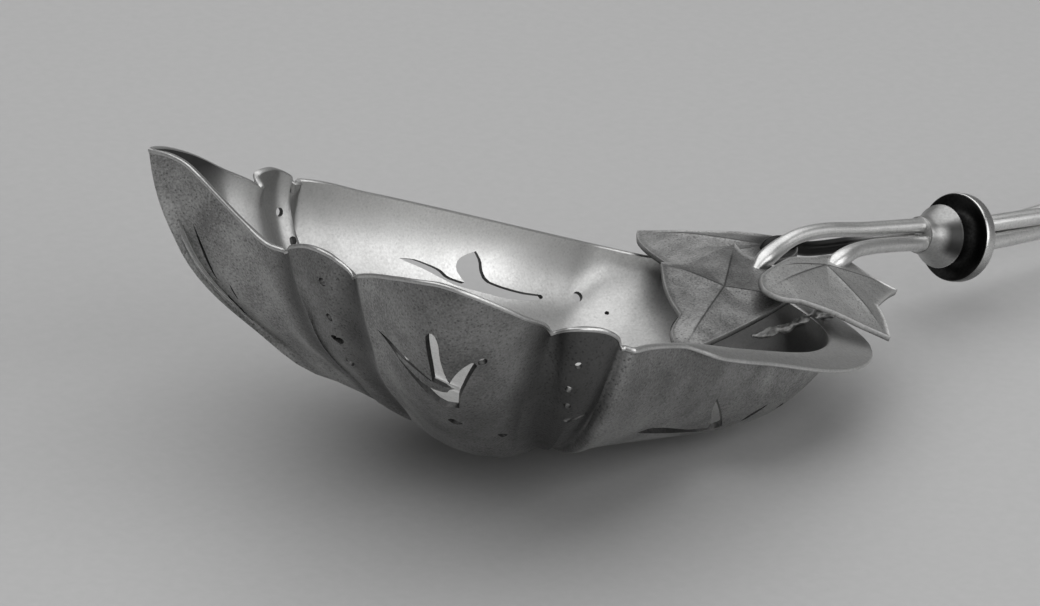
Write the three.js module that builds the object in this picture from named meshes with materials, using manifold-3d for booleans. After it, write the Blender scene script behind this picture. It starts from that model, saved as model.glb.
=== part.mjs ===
// A sugar sifter ladle in silver. A lobed, pierced bowl is held by three ivy leaves. Their stems run
// into a turned knop, and three twined strands carry on from it to the handle's rounded end.
// Millimetres and degrees. The ladle is drawn in the frame of its rim, with x towards the handle,
// y towards the far side and z up, and is then tipped to lie on a table as it does in use.
import * as THREE from 'three';
import { mergeVertices } from 'three/addons/utils/BufferGeometryUtils.js';
import Module from 'manifold-3d';

// Bowl
const BOWL_HALF_LENGTH = 30;
const BOWL_HALF_WIDTH = 22;
const BOWL_DEPTH = 15.3; // from the notches of the rim to the outside of the bottom
const BOTTOM_SHIFT = 1; // the deepest point lies this far towards the handle
const WALL_FULLNESS = 2.3; // exponent of the wall's curve, where 2 is an ellipse
const WALL = 0.8;
const FRONT_RISE = 2.6; // crown of the front tongue above the notches
const PETAL_RISE = 4.1;
const TONGUE_RISE = 1.8;
const BACK_DROP = 3.8; // the rim at the handle below the notches
const FRONT_FLARE = 2; // the front lobes lean out this much at the rim
const FLARE_DROP = 0.4; // share of the depth over which they lean
const FLARE_CURVE = 1.3; // how sharply they turn out
const FLARE_START = 0.45; // where the lean begins and is full, in half lengths ahead of the middle
const FLARE_FULL = 0.95;
const CREASE_DEPTH = 1.6; // the lobes are drawn in this much where they meet
const CREASE_WIDTH = 1.7;
const CREASE_SPAN = 1.9; // length of a crease's flank in crease widths
const CREASE_MOST = 0.4; // and its most, as a share of the lobe
const RIM_BEAD = 0.15;
const LIP_TURN = 1.3; // width of the everted lip along the sides, and what it gains round the handle
const LIP_GAIN = 3.5;
const SIDE_SLOPE = 22; // fall of the lip along the sides and round the handle
const END_SLOPE = 3;
const LIP_START = 0.19; // where the lip turns out, is turned, widens and is full, in shares of the way
const LIP_TURNED = 0.3; // from notch to handle
const LIP_WIDENS = 0.45;
const LIP_FULL = 0.82;

// Piercing
const SLIT_WIDTH = 0.7;
const SLIT_POINT = 0.3; // width of a slit at its ends, in shares of its width
const DOT_DIAMETER = 1.1;

// Leaves: the origin of each blade lies at the foot of its stem or under it
const LEAF_THICKNESS = 0.8;
const LEAF_DROOP = 0.006; // fall of the blade for each millimetre squared from its origin
const FRONT_LEAF_INSET = 8.2; // origin ahead of the back of the rim
const FRONT_LEAF_LIFT = 1.4; // origin above the back of the rim
const FRONT_LEAF_ASIDE = -1.7; // origin from the middle plane
const FRONT_LEAF_TURN = { heading: -145, pitch: 14, roll: 0 };
const SIDE_LEAF_OVERHANG = 5; // origins behind the back of the rim
const SIDE_LEAF_SPREAD = 2.3; // origins out from the middle plane
const NEAR_LEAF_LIFT = 3.7;
const NEAR_LEAF_TURN = { heading: -95, pitch: 13, roll: -6 };
const FAR_LEAF_LIFT = 3.2;
const FAR_LEAF_TURN = { heading: 126, pitch: 3.2, roll: -11 };

// Stems, knop and handle
const STEM_DIAMETER = 1.45;
const FRONT_STEM_ARCH = 2.8; // crown of a stem above its foot on the leaf
const SIDE_STEM_ARCH = 1.3;
const STEM_CROWN = 4.2; // crown of a stem behind its foot
const STEM_GATHER = 6.2; // length over which the stems lie together ahead of the ferrule
const STEM_FAN = 0.25; // what the stems part by over that length
const STEM_ANKLE = 0.9; // height over which a stem comes down on its leaf
const STEM_SPREAD = 0.7; // a stem's crown lies at this share of its foot's distance from the middle
const FRONT_FOOT = [-7.6, 2]; // places on the blades where the stems come down
const NEAR_FOOT = [0.2, 2];
const FAR_FOOT = [0.4, -0.4];
const KNOP_REACH = 20.7; // front of the ferrule behind the back of the rim
const KNOP_LIFT = 5.3; // front of the ferrule above the back of the rim
const KNOP_PITCH = -3; // rise of the knop's axis from the rim's plane
const SHAFT_PITCH = 8.63; // rise of the shaft from the rim's plane
const THROAT_DIAMETER = 3.8;
const BELL_LENGTH = 3.4;
const BELL_DIAMETER = 5.8;
const BELL_CURVE = 1.6; // how late the bell opens
const BELL_NECK = 0.2; // straight share of the bell's length
const HUB_DIAMETER = 4;
const HUB_LENGTH = 1.6;
const COLLAR_DIAMETER = 8.2;
const COLLAR_THICKNESS = 1.4;
const COLLAR_CUP = 0.6; // hollow of the collar's front face
const STRAND_DIAMETER = 1.45;
const STRAND_TURNS = 0.75;
const SHAFT_LENGTH = 73;
const CAP_DIAMETER = 5.4;
const CAP_LENGTH = 7;
const CAP_MOUTH = 0.8; // mouth of the end cap in shares of its diameter
const CAP_SHOULDER = 0.8;

// Solder beads: places on the lip, as shares along the back lobe and across the lip
const FRONT_BEAD = [0.485, 0];
const NEAR_BEAD = [0.44, 0.5];
const FAR_BEAD = [0.57, 0.3];

// Fits and facets
const CLEARANCE = 0.3; // solder gap between pieces
const REST_FLAT = 0.12; // depth worn flat where the ladle lies on the table
const LOBE_STEPS = { front: 3, petal: 9, tongue: 2, back: 28 }; // between the creases
const CREASE_STEPS = 3;
const WALL_STEPS = 10;
const ARC_STEPS = 2;
const SLIT_STEPS = 4;
const ROUND_SIDES = 8;
const TURNED_SIDES = 24;
const LEAF_STEPS = 4;
const LEAF_RINGS = [0.35, 0.7, 1];
const STEM_STEPS = 16;
const STRAND_STEPS = 24;
const BEND_STEPS = 6; // of a bead, a dome or a flare
const TABLE_REACH = 400; // of the slab that wears the rests flat

// Rim of one side from front to back: along and across in shares of the half length and half width,
// and up in shares of the lobe's own rise. Each lobe starts and ends in a notch.
const FRONT_STATIONS = [[-1.04, 0, 1], [-1.025, 0.13, 0.8], [-0.98, 0.2, 0.12]];
const PETAL_STATIONS = [
  [-0.98, 0.2, 0.07], [-1.055, 0.364, 0.5], [-1.113, 0.59, 0.9], [-1.143, 0.773, 1],
  [-1.08, 0.918, 0.93], [-0.867, 0.982, 0.7], [-0.66, 0.873, 0],
];
const TONGUE_STATIONS = [
  [-0.66, 0.873, 0], [-0.663, 0.955, 0.7], [-0.58, 1.036, 1], [-0.487, 1.059, 0.68], [-0.453, 1.018, 0],
];
const BACK_STATIONS = [
  [-0.453, 1.018, 0], [-0.35, 1.005, -0.04], [-0.117, 0.936, 0.12], [0.207, 0.841, 0.54],
  [0.627, 0.7, 0.97], [0.787, 0.564, 1], [0.873, 0.391, 0.95], [0.913, 0, 0.87],
];

// Piercing of a lobe, as shares along the lobe and up its wall. A tulip is an outline of arcs that meet
// in its tips and the corners between its petals.
const PETAL_MOTIF = {
  tulip: [
    [[0.17, 0.865], [0.3, 0.78], [0.47, 0.706], [0.57, 0.666], [0.648, 0.676]],
    [[0.648, 0.676], [0.655, 0.735], [0.68, 0.88]],
    [[0.68, 0.88], [0.64, 0.838], [0.598, 0.772]],
    [[0.598, 0.772], [0.56, 0.8], [0.53, 0.885], [0.496, 0.921]],
    [[0.496, 0.921], [0.478, 0.89], [0.496, 0.82], [0.512, 0.76]],
    [[0.512, 0.76], [0.4, 0.779], [0.28, 0.816], [0.17, 0.865]],
  ],
  slits: [[[0.57, 0.597], [0.617, 0.603], [0.66, 0.592]]],
  dots: [[0.712, 0.885], [0.86, 0.56]],
};
const BACK_MOTIF = {
  tulip: [
    [[0.105, 0.74], [0.135, 0.745], [0.158, 0.715], [0.188, 0.69]],
    [[0.188, 0.69], [0.18, 0.77], [0.181, 0.83], [0.193, 0.885]],
    [[0.193, 0.885], [0.206, 0.8], [0.212, 0.735], [0.232, 0.7], [0.28, 0.72]],
    [[0.28, 0.72], [0.284, 0.69], [0.262, 0.655], [0.22, 0.635], [0.16, 0.67], [0.105, 0.74]],
  ],
  slits: [],
  dots: [[0.317, 0.732], [0.352, 0.69]],
};
const TONGUE_DOTS = [0.92, 0.84, 0.765, 0.69]; // heights up the middle of each side tongue
const FRONT_DOTS = [0.9, 0.77, 0.69, 0.57];

// Ivy leaves: the vein centre, and the outline as arcs that meet in tips and notches. The main lobe
// runs along x.
const FRONT_LEAF = {
  middle: [0.5, 0.9],
  arcs: [
    [[13, -0.2], [10.3, -1.7], [7.2, -1.7]],
    [[7.2, -1.7], [5, -3.2], [2.4, -4.4], [-1.3, -5.6]],
    [[-1.3, -5.6], [-2.4, -3.4], [-5.5, -2], [-9.6, -0.2]],
    [[-9.6, -0.2], [-7.7, 1.2], [-7.2, 3.4], [-5.5, 5.2], [-1.4, 6.9]],
    [[-1.4, 6.9], [6.2, 3.9], [13, -0.2]],
  ],
};
const NEAR_LEAF = {
  middle: [1.6, -0.9],
  arcs: [
    [[12.3, -0.5], [9.4, 0.9], [7.4, 1.6]],
    [[7.4, 1.6], [5.9, 3.8], [3.5, 7.7]],
    [[3.5, 7.7], [2.2, 4.8], [-0.2, 4], [-0.8, 2.1], [0.3, -1.5], [0.8, -4.8], [2.2, -8]],
    [[2.2, -8], [4.1, -11.1], [6, -12], [7.2, -10.9], [7.6, -8.7]],
    [[7.6, -8.7], [9.2, -5.6], [12.3, -0.5]],
  ],
};
const FAR_LEAF = {
  middle: [2, 0.5],
  arcs: [
    [[14.4, 0.1], [13.9, 2.1], [12.6, 4.2], [9.8, 7.1]],
    [[9.8, 7.1], [6, 6.2], [2, 3.9], [0, 2.5], [-1, 1], [-0.8, -1], [1.9, -2.2]],
    [[1.9, -2.2], [4.6, -1.9], [9.3, -0.4], [14.4, 0.1]],
  ],
};

const wasm = await Module();
wasm.setup();

const radians = THREE.MathUtils.degToRad;
const vector = (x, y, z) => new THREE.Vector3(x, y, z);
const counted = (count) => Array.from({ length: count }, (_, index) => index);

// Closed surface with its faces outward
function closedGeometry(points, faces) {
  const volume = faces.reduce((sum, [a, b, c]) => {
    const normal = vector(0, 0, 0).crossVectors(points[b], points[c]);
    return sum + points[a].dot(normal);
  }, 0);
  const turned = volume < 0 ? faces.map(([a, b, c]) => [a, c, b]) : faces;
  const geometry = new THREE.BufferGeometry().setFromPoints(points);
  geometry.setIndex(turned.flat());
  geometry.computeVertexNormals();
  return geometry;
}

// Closed surface through rings of equal count, with a pole at each end
function skin(rings, firstPole, lastPole) {
  const points = [firstPole, ...rings.flat(), lastPole];
  const count = rings[0].length;
  const end = points.length - 1;
  const at = (row, k) => 1 + row * count + (k % count);
  const faces = [];
  for (let k = 0; k < count; k += 1) {
    faces.push([0, at(0, k + 1), at(0, k)]);
    for (let row = 0; row + 1 < rings.length; row += 1) {
      faces.push([at(row, k), at(row, k + 1), at(row + 1, k + 1)]);
      faces.push([at(row, k), at(row + 1, k + 1), at(row + 1, k)]);
    }
    faces.push([end, at(rings.length - 1, k), at(rings.length - 1, k + 1)]);
  }
  return closedGeometry(points, faces);
}

function centre(ring) {
  const sum = ring.reduce((total, point) => total.add(point), vector(0, 0, 0));
  return sum.divideScalar(ring.length);
}

function toSolid(geometry) {
  const bare = geometry.clone();
  bare.deleteAttribute('normal');
  bare.deleteAttribute('uv');
  const merged = mergeVertices(bare);
  const vertProperties = new Float32Array(merged.attributes.position.array);
  const triVerts = new Uint32Array(merged.index.array);
  return new wasm.Manifold(new wasm.Mesh({ numProp: 3, vertProperties, triVerts }));
}

function toGeometry(solid) {
  const mesh = solid.getMesh();
  const geometry = new THREE.BufferGeometry();
  geometry.setAttribute('position', new THREE.BufferAttribute(new Float32Array(mesh.vertProperties), 3));
  geometry.setIndex(Array.from(mesh.triVerts));
  geometry.computeVertexNormals();
  return geometry;
}

function cut(geometry, cutters) {
  const solid = cutters.reduce((left, cutter) => left.subtract(toSolid(cutter)), toSolid(geometry));
  return toGeometry(solid);
}

// Rim lobes, in order round the bowl from the far front notch by the near side
function nearSide(stations, rise) {
  return stations.map(([along, across, up]) => vector(
    along * BOWL_HALF_LENGTH, -across * BOWL_HALF_WIDTH, up * rise));
}

function farSide(points) {
  return points.map((point) => vector(point.x, -point.y, point.z)).reverse();
}

function lobe(name, steps, points) {
  return { name, steps, curve: new THREE.CatmullRomCurve3(points, false, 'centripetal') };
}

const frontHalf = nearSide(FRONT_STATIONS, FRONT_RISE);
const petal = nearSide(PETAL_STATIONS, PETAL_RISE);
const tongue = nearSide(TONGUE_STATIONS, TONGUE_RISE);
const backHalf = nearSide(BACK_STATIONS, -BACK_DROP);
const LOBES = [
  lobe('front', LOBE_STEPS.front, [...farSide(frontHalf), ...frontHalf.slice(1)]),
  lobe('petal', LOBE_STEPS.petal, petal),
  lobe('tongue', LOBE_STEPS.tongue, tongue),
  lobe('back', LOBE_STEPS.back, [...backHalf, ...farSide(backHalf).slice(1)]),
  lobe('tongue', LOBE_STEPS.tongue, farSide(tongue)),
  lobe('petal', LOBE_STEPS.petal, farSide(petal)),
];
const rimBack = backHalf[backHalf.length - 1];

// Lean of the wall at a rim point: full at the front, none behind the side tongues
function flareAt(point) {
  const ahead = -point.x / BOWL_HALF_LENGTH;
  return FRONT_FLARE * THREE.MathUtils.smoothstep(ahead, FLARE_START, FLARE_FULL);
}

// Point of a wall that hangs from an edge to a given depth, at a height from 0 to 1. The wall is a
// part of a rounded bowl that leans out near the edge.
function wallPoint(edge, out, flare, height, depth) {
  const angle = height * Math.PI / 2;
  const reach = Math.sin(angle) ** (2 / WALL_FULLNESS);
  const sink = Math.cos(angle) ** (2 / WALL_FULLNESS);
  const lean = flare * (Math.max(0, 1 - sink / FLARE_DROP) ** FLARE_CURVE - reach);
  const point = vector(
    BOTTOM_SHIFT + (edge.x - BOTTOM_SHIFT) * reach, edge.y * reach, edge.z - (edge.z + depth) * sink);
  return point.addScaledVector(out, lean);
}

// Point of the rim at a share along its lobe, drawn in towards the middle of the bowl near the notches
function rimPoint(owner, share) {
  const point = owner.curve.getPointAt(share);
  const apart = owner.curve.getLength() * Math.min(share, 1 - share);
  const inward = vector(BOTTOM_SHIFT - point.x, -point.y, 0).normalize();
  return point.addScaledVector(inward, CREASE_DEPTH * Math.exp(-((apart / CREASE_WIDTH) ** 2)));
}

// Way out of the bowl at a share along a lobe's rim
function outward(owner, share) {
  const way = owner.curve.getTangentAt(share);
  return vector(way.y, -way.x, 0).normalize();
}

// Everted lip at a share along its lobe: none at the notches, narrow and steep along the sides, and
// wide and nearly level round the handle
function lipAt(owner, share) {
  const fromNotch = owner.name === 'back' ? 1 - Math.abs(2 * share - 1) : 0;
  const turned = THREE.MathUtils.smoothstep(fromNotch, LIP_START, LIP_TURNED);
  const full = THREE.MathUtils.smoothstep(fromNotch, LIP_WIDENS, LIP_FULL);
  const slope = THREE.MathUtils.lerp(SIDE_SLOPE, END_SLOPE, full);
  return { width: LIP_TURN * turned + LIP_GAIN * full, fall: Math.tan(radians(slope)) };
}

// Shares along a lobe, close together in the creases at its ends
function lobeShares(owner) {
  const span = Math.min(CREASE_SPAN * CREASE_WIDTH / owner.curve.getLength(), CREASE_MOST);
  const flank = counted(CREASE_STEPS).map((k) => span * k / CREASE_STEPS);
  const middle = counted(owner.steps + 1).map((k) => span + (1 - 2 * span) * k / owner.steps);
  const farFlank = flank.slice(1).reverse().map((share) => 1 - share);
  return [...flank, ...middle, ...farFlank];
}

function rimSamples() {
  const samples = LOBES.flatMap((owner) => lobeShares(owner).map((share) => {
    const { width, fall } = lipAt(owner, share);
    return { point: rimPoint(owner, share), lip: RIM_BEAD + width, fall };
  }));
  samples.forEach((sample, k) => {
    const next = samples[(k + 1) % samples.length].point;
    const last = samples[(k + samples.length - 1) % samples.length].point;
    sample.out = vector(next.y - last.y, last.x - next.x, 0).normalize();
  });
  return samples;
}

const rim = rimSamples();

function outerRing(height) {
  return rim.map(({ point, out }) => {
    const edge = point.clone().setZ(point.z - WALL);
    return wallPoint(edge, out, flareAt(point), height, BOWL_DEPTH);
  });
}

function innerRing(height) {
  return rim.map(({ point, out }) => {
    const edge = point.clone().addScaledVector(out, -WALL);
    return wallPoint(edge, out, flareAt(point), height, BOWL_DEPTH - WALL);
  });
}

function lipRing(below) {
  return rim.map(({ point, out, lip, fall }) => {
    const edge = point.clone().addScaledVector(out, lip);
    return edge.setZ(point.z - lip * fall - below);
  });
}

const wallHeights = counted(WALL_STEPS).map((k) => (k + 1) / WALL_STEPS);
const outerRings = wallHeights.map(outerRing);

function bowlShell() {
  const innerRings = wallHeights.map(innerRing).reverse();
  return skin(
    [...outerRings, lipRing(WALL), lipRing(0), ...innerRings],
    vector(BOTTOM_SHIFT, 0, -BOWL_DEPTH),
    vector(BOTTOM_SHIFT, 0, WALL - BOWL_DEPTH));
}

// Place on the outside of a lobe's wall, with its outward direction
function wallFrame(owner, share, height) {
  const step = 0.01;
  const on = (s, t) => {
    const along = THREE.MathUtils.clamp(s, 0, 1);
    const point = rimPoint(owner, along);
    const edge = point.clone().setZ(point.z - WALL);
    return wallPoint(edge, outward(owner, along), flareAt(point), t, BOWL_DEPTH);
  };
  const along = on(share + step, height).sub(on(share - step, height));
  const up = on(share, height + step).sub(on(share, height - step));
  return { point: on(share, height), out: along.cross(up).normalize() };
}

// Cutter square through the wall, from a flat outline and the place on the wall of each of its points
function holeCutter(flat, frames) {
  const clockwise = THREE.ShapeUtils.isClockWise(flat);
  const outline = clockwise ? flat.toReversed() : flat;
  const places = clockwise ? frames.toReversed() : frames;
  const caps = THREE.ShapeUtils.triangulateShape(outline, []);
  const count = outline.length;
  const points = [2 * WALL, -3 * WALL].flatMap((depth) => places.map(
    ({ point, out }) => point.clone().addScaledVector(out, depth)));
  const faces = caps.flatMap(([a, b, c]) => [[a, b, c], [c + count, b + count, a + count]]);
  counted(count).forEach((k) => {
    const next = (k + 1) % count;
    faces.push([next, k, k + count], [next, k + count, next + count]);
  });
  return closedGeometry(points, faces);
}

// Outline through arcs that meet in corners
function arcOutline(arcs, steps) {
  return arcs.flatMap((arc, k) => {
    const curve = new THREE.SplineCurve(arc.map(([x, y]) => new THREE.Vector2(x, y)));
    return curve.getSpacedPoints(steps[k]).slice(0, -1);
  });
}

function wallCutter(owner, outline) {
  return holeCutter(outline, outline.map(({ x, y }) => wallFrame(owner, x, y)));
}

function tulipCutter(owner, arcs) {
  return wallCutter(owner, arcOutline(arcs, arcs.map((arc) => ARC_STEPS * (arc.length - 1))));
}

// Slit along a path, narrow at both ends. Its width is taken up the wall.
function slitCutter(owner, path) {
  const guide = new THREE.SplineCurve(path.map(([share, height]) => new THREE.Vector2(share, height)));
  const middle = guide.getPoints(SLIT_STEPS);
  const half = (k) => SLIT_WIDTH / BOWL_DEPTH / 2 * THREE.MathUtils.lerp(
    SLIT_POINT, 1, Math.sin(Math.PI * k / SLIT_STEPS));
  const lower = middle.map(({ x, y }, k) => new THREE.Vector2(x, y - half(k)));
  const upper = middle.map(({ x, y }, k) => new THREE.Vector2(x, y + half(k)));
  return wallCutter(owner, [...lower, ...upper.reverse()]);
}

function dotCutter(owner, share, height) {
  const { point, out } = wallFrame(owner, share, height);
  const aside = vector(0, 0, 1).cross(out).normalize();
  const above = out.clone().cross(aside);
  const outline = counted(ROUND_SIDES).map((k) => {
    const angle = 2 * Math.PI * k / ROUND_SIDES;
    return new THREE.Vector2(Math.cos(angle), Math.sin(angle)).multiplyScalar(DOT_DIAMETER / 2);
  });
  const places = outline.map(({ x, y }) => ({
    point: point.clone().addScaledVector(aside, x).addScaledVector(above, y), out,
  }));
  return holeCutter(outline, places);
}

// Piercing of one lobe. A motif drawn for the near side runs backwards along its twin on the far side.
function motifCutters(owner, motif, backwards) {
  const turn = ([share, height]) => [backwards ? 1 - share : share, height];
  return [
    tulipCutter(owner, motif.tulip.map((arc) => arc.map(turn))),
    ...motif.slits.map((path) => slitCutter(owner, path.map(turn))),
    ...motif.dots.map((place) => dotCutter(owner, ...turn(place))),
  ];
}

function piercing() {
  const [front, petalNear, tongueNear, back, tongueFar, petalFar] = LOBES;
  const column = (owner, heights) => heights.map((height) => dotCutter(owner, 0.5, height));
  return [
    ...column(front, FRONT_DOTS),
    ...column(tongueNear, TONGUE_DOTS),
    ...column(tongueFar, TONGUE_DOTS),
    ...motifCutters(petalNear, PETAL_MOTIF, false),
    ...motifCutters(petalFar, PETAL_MOTIF, true),
    ...motifCutters(back, BACK_MOTIF, false),
    ...motifCutters(back, BACK_MOTIF, true),
  ];
}

// Blade point of a leaf, above its upper face by a height
function bladePoint(leaf, [x, y], above) {
  return vector(x, y, above - LEAF_DROOP * (x * x + y * y)).applyMatrix4(leaf.place);
}

// A leaf lies at its origin, turned to its heading, with its tip down by the pitch
function ivyLeaf(shape, at, { heading, pitch, roll }) {
  const turn = new THREE.Euler(radians(roll), radians(pitch), radians(heading), 'ZYX');
  return { shape, place: new THREE.Matrix4().makeRotationFromEuler(turn).setPosition(at) };
}

const sideLeafAt = (side, lift) => vector(
  rimBack.x + SIDE_LEAF_OVERHANG, side * SIDE_LEAF_SPREAD, rimBack.z + lift);
const frontLeafAt = vector(rimBack.x - FRONT_LEAF_INSET, FRONT_LEAF_ASIDE, rimBack.z + FRONT_LEAF_LIFT);
const frontLeaf = ivyLeaf(FRONT_LEAF, frontLeafAt, FRONT_LEAF_TURN);
const nearLeaf = ivyLeaf(NEAR_LEAF, sideLeafAt(-1, NEAR_LEAF_LIFT), NEAR_LEAF_TURN);
const farLeaf = ivyLeaf(FAR_LEAF, sideLeafAt(1, FAR_LEAF_LIFT), FAR_LEAF_TURN);

function leafBlade(leaf) {
  const { middle, arcs } = leaf.shape;
  const outline = arcOutline(arcs, arcs.map((arc) => LEAF_STEPS * (arc.length - 1)));
  const ring = (share, above) => outline.map(({ x, y }) => bladePoint(
    leaf, [THREE.MathUtils.lerp(middle[0], x, share), THREE.MathUtils.lerp(middle[1], y, share)], above));
  const upper = LEAF_RINGS.map((share) => ring(share, 0));
  const under = LEAF_RINGS.map((share) => ring(share, -LEAF_THICKNESS)).reverse();
  return skin([...upper, ...under], bladePoint(leaf, middle, 0), bladePoint(leaf, middle, -LEAF_THICKNESS));
}

// Round rod along a path
function rod(points, radius, steps) {
  const path = new THREE.CatmullRomCurve3(points, false, 'centripetal');
  const frames = path.computeFrenetFrames(steps, false);
  const rings = path.getSpacedPoints(steps).map((point, k) => counted(ROUND_SIDES).map((side) => {
    const angle = 2 * Math.PI * side / ROUND_SIDES;
    const spoke = frames.normals[k].clone().multiplyScalar(Math.cos(angle));
    spoke.addScaledVector(frames.binormals[k], Math.sin(angle));
    return point.clone().addScaledVector(spoke, radius);
  }));
  return skin(rings, centre(rings[0]), centre(rings[steps]));
}

// Knop frame: its origin is the middle of the ferrule's front face and its x axis runs to the handle.
// The shaft turns up behind the collar in a frame of its own.
const collarAt = BELL_LENGTH + CLEARANCE;
const collarBack = collarAt + HUB_LENGTH + COLLAR_THICKNESS;
const knop = new THREE.Group();
knop.position.set(rimBack.x + KNOP_REACH, 0, rimBack.z + KNOP_LIFT);
knop.rotation.y = -radians(KNOP_PITCH);
knop.updateMatrix();
const shaft = new THREE.Group();
shaft.position.x = collarBack;
shaft.rotation.y = -radians(SHAFT_PITCH - KNOP_PITCH);
shaft.updateMatrix();
const shaftMatrix = knop.matrix.clone().multiply(shaft.matrix);
const shaftLean = STRAND_DIAMETER * 1.5 * Math.sin(radians(SHAFT_PITCH - KNOP_PITCH));
const shaftAt = CLEARANCE + shaftLean;
const capAt = shaftAt + SHAFT_LENGTH + CLEARANCE;

// Three rods packed round an axis, at a bearing from straight up
function packed(diameter, bearing, along) {
  const apart = (diameter + CLEARANCE) / Math.sqrt(3);
  return vector(along, -apart * Math.sin(radians(bearing)), apart * Math.cos(radians(bearing)));
}

// A stem leaves the ferrule, arches over its leaf and comes down on a place of the blade
function stem(leaf, place, packing, arch) {
  const start = packed(STEM_DIAMETER, packing, -CLEARANCE).applyMatrix4(knop.matrix);
  const gather = packed(STEM_DIAMETER + STEM_FAN, packing, -STEM_GATHER).applyMatrix4(knop.matrix);
  const foot = bladePoint(leaf, place, CLEARANCE);
  const ankle = bladePoint(leaf, place, CLEARANCE + STEM_ANKLE);
  const crown = vector(foot.x + STEM_CROWN, foot.y * STEM_SPREAD, foot.z + arch);
  return rod([start, gather, crown, ankle, foot], STEM_DIAMETER / 2, STEM_STEPS);
}

function turned(profile) {
  const points = profile.map(([radius, along]) => new THREE.Vector2(radius, along));
  return new THREE.LatheGeometry(points, TURNED_SIDES).rotateZ(-Math.PI / 2);
}

function bellFerrule() {
  const throat = THROAT_DIAMETER / 2;
  const mouth = BELL_DIAMETER / 2;
  const flare = counted(BEND_STEPS + 1).map((k) => {
    const share = k / BEND_STEPS;
    const along = BELL_LENGTH * THREE.MathUtils.lerp(BELL_NECK, 1, share);
    return [THREE.MathUtils.lerp(throat, mouth, share ** BELL_CURVE), along];
  });
  return turned([[0, 0], [throat, 0], ...flare, [0, BELL_LENGTH]]);
}

function ringCollar() {
  const hub = HUB_DIAMETER / 2;
  const edge = COLLAR_DIAMETER / 2;
  const face = collarAt + HUB_LENGTH;
  const round = COLLAR_THICKNESS / 2;
  const bead = counted(BEND_STEPS + 1).map((k) => {
    const angle = Math.PI * (k / BEND_STEPS - 0.5);
    return [edge - round + round * Math.cos(angle), face + round + round * Math.sin(angle)];
  });
  return turned([
    [0, collarAt], [hub, collarAt], [hub, face + COLLAR_CUP], [edge - 2 * round, face + COLLAR_CUP],
    ...bead, [hub, collarBack], [0, collarBack],
  ]);
}

function strand(bearing) {
  const points = counted(STRAND_STEPS + 1).map((k) => {
    const share = k / STRAND_STEPS;
    return packed(STRAND_DIAMETER, bearing + 360 * STRAND_TURNS * share, shaftAt + SHAFT_LENGTH * share);
  });
  return rod(points, STRAND_DIAMETER / 2, STRAND_STEPS);
}

function endCap() {
  const edge = CAP_DIAMETER / 2;
  const dome = counted(BEND_STEPS).map((k) => {
    const angle = Math.PI / 2 * k / BEND_STEPS;
    return [edge * Math.cos(angle), capAt + CAP_LENGTH - edge + edge * Math.sin(angle)];
  });
  const mouth = [[0, capAt], [edge * CAP_MOUTH, capAt], [edge, capAt + CAP_SHOULDER]];
  return turned([...mouth, ...dome, [0, capAt + CAP_LENGTH]]);
}

// Solder bead: a ball held between a place on the lip and the underside of the leaf over it
function solderBead(leaf, place) {
  const below = lipTop(...place);
  const { x, y } = below.clone().applyMatrix4(leaf.place.clone().invert());
  const above = bladePoint(leaf, [x, y], -LEAF_THICKNESS);
  const middle = above.clone().lerp(below, 0.5);
  const radius = above.distanceTo(below) / 2 - CLEARANCE;
  const ball = new THREE.SphereGeometry(radius, 2 * BEND_STEPS, BEND_STEPS + 2);
  return ball.translate(middle.x, middle.y, middle.z);
}

// Place on the top of the everted lip, at a share along the back lobe and a share across the lip
function lipTop(share, across) {
  const back = LOBES[3];
  const { width, fall } = lipAt(back, share);
  const point = rimPoint(back, share).addScaledVector(outward(back, share), width * across);
  return point.setZ(point.z - width * across * fall);
}

// Silver of one piece: how bright and how smooth
function silver(shade, roughness) {
  const color = new THREE.Color(shade, shade, shade);
  return new THREE.MeshStandardMaterial({ color, roughness, metalness: 1 });
}

// Tilt at which the bowl and the end of the handle lie on one table, and where the bowl touches it
function lowest(points, tilt) {
  const height = (point) => point.z * Math.cos(tilt) - point.x * Math.sin(tilt);
  const lower = (least, point) => (height(point) < least.height ? { point, height: height(point) } : least);
  return points.reduce(lower, { height: Infinity });
}

function settledTilt(bowlPoints, capPoints) {
  let level = 0;
  let steep = radians(45);
  for (let round = 0; round < 40; round += 1) {
    const middle = (level + steep) / 2;
    if (lowest(capPoints, middle).height > lowest(bowlPoints, middle).height) {
      level = middle;
    } else {
      steep = middle;
    }
  }
  return level;
}

function pointsOf(geometry, matrix) {
  const position = geometry.attributes.position;
  const pointAt = (k) => vector(0, 0, 0).fromBufferAttribute(position, k);
  return counted(position.count).map((k) => pointAt(k).applyMatrix4(matrix));
}

const capGeometry = endCap();
const bowlPoints = outerRings.flat();
const tilt = settledTilt(bowlPoints, pointsOf(capGeometry, shaftMatrix));
const touch = lowest(bowlPoints, tilt);
const ladle = new THREE.Group();
ladle.rotation.y = tilt;
ladle.position.x = -(touch.point.x * Math.cos(tilt) + touch.point.z * Math.sin(tilt));
ladle.position.z = -touch.height - REST_FLAT;
ladle.updateMatrix();

// Slab below the table, in the frame of a group inside the ladle
function tableSlab(groupMatrix) {
  const slab = new THREE.BoxGeometry(TABLE_REACH, TABLE_REACH, TABLE_REACH).translate(0, 0, -TABLE_REACH / 2);
  const intoGroup = ladle.matrix.clone().multiply(groupMatrix).invert();
  return slab.applyMatrix4(intoGroup);
}

function add(group, name, geometry, material) {
  const mesh = new THREE.Mesh(geometry, material);
  mesh.name = name;
  group.add(mesh);
}

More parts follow.
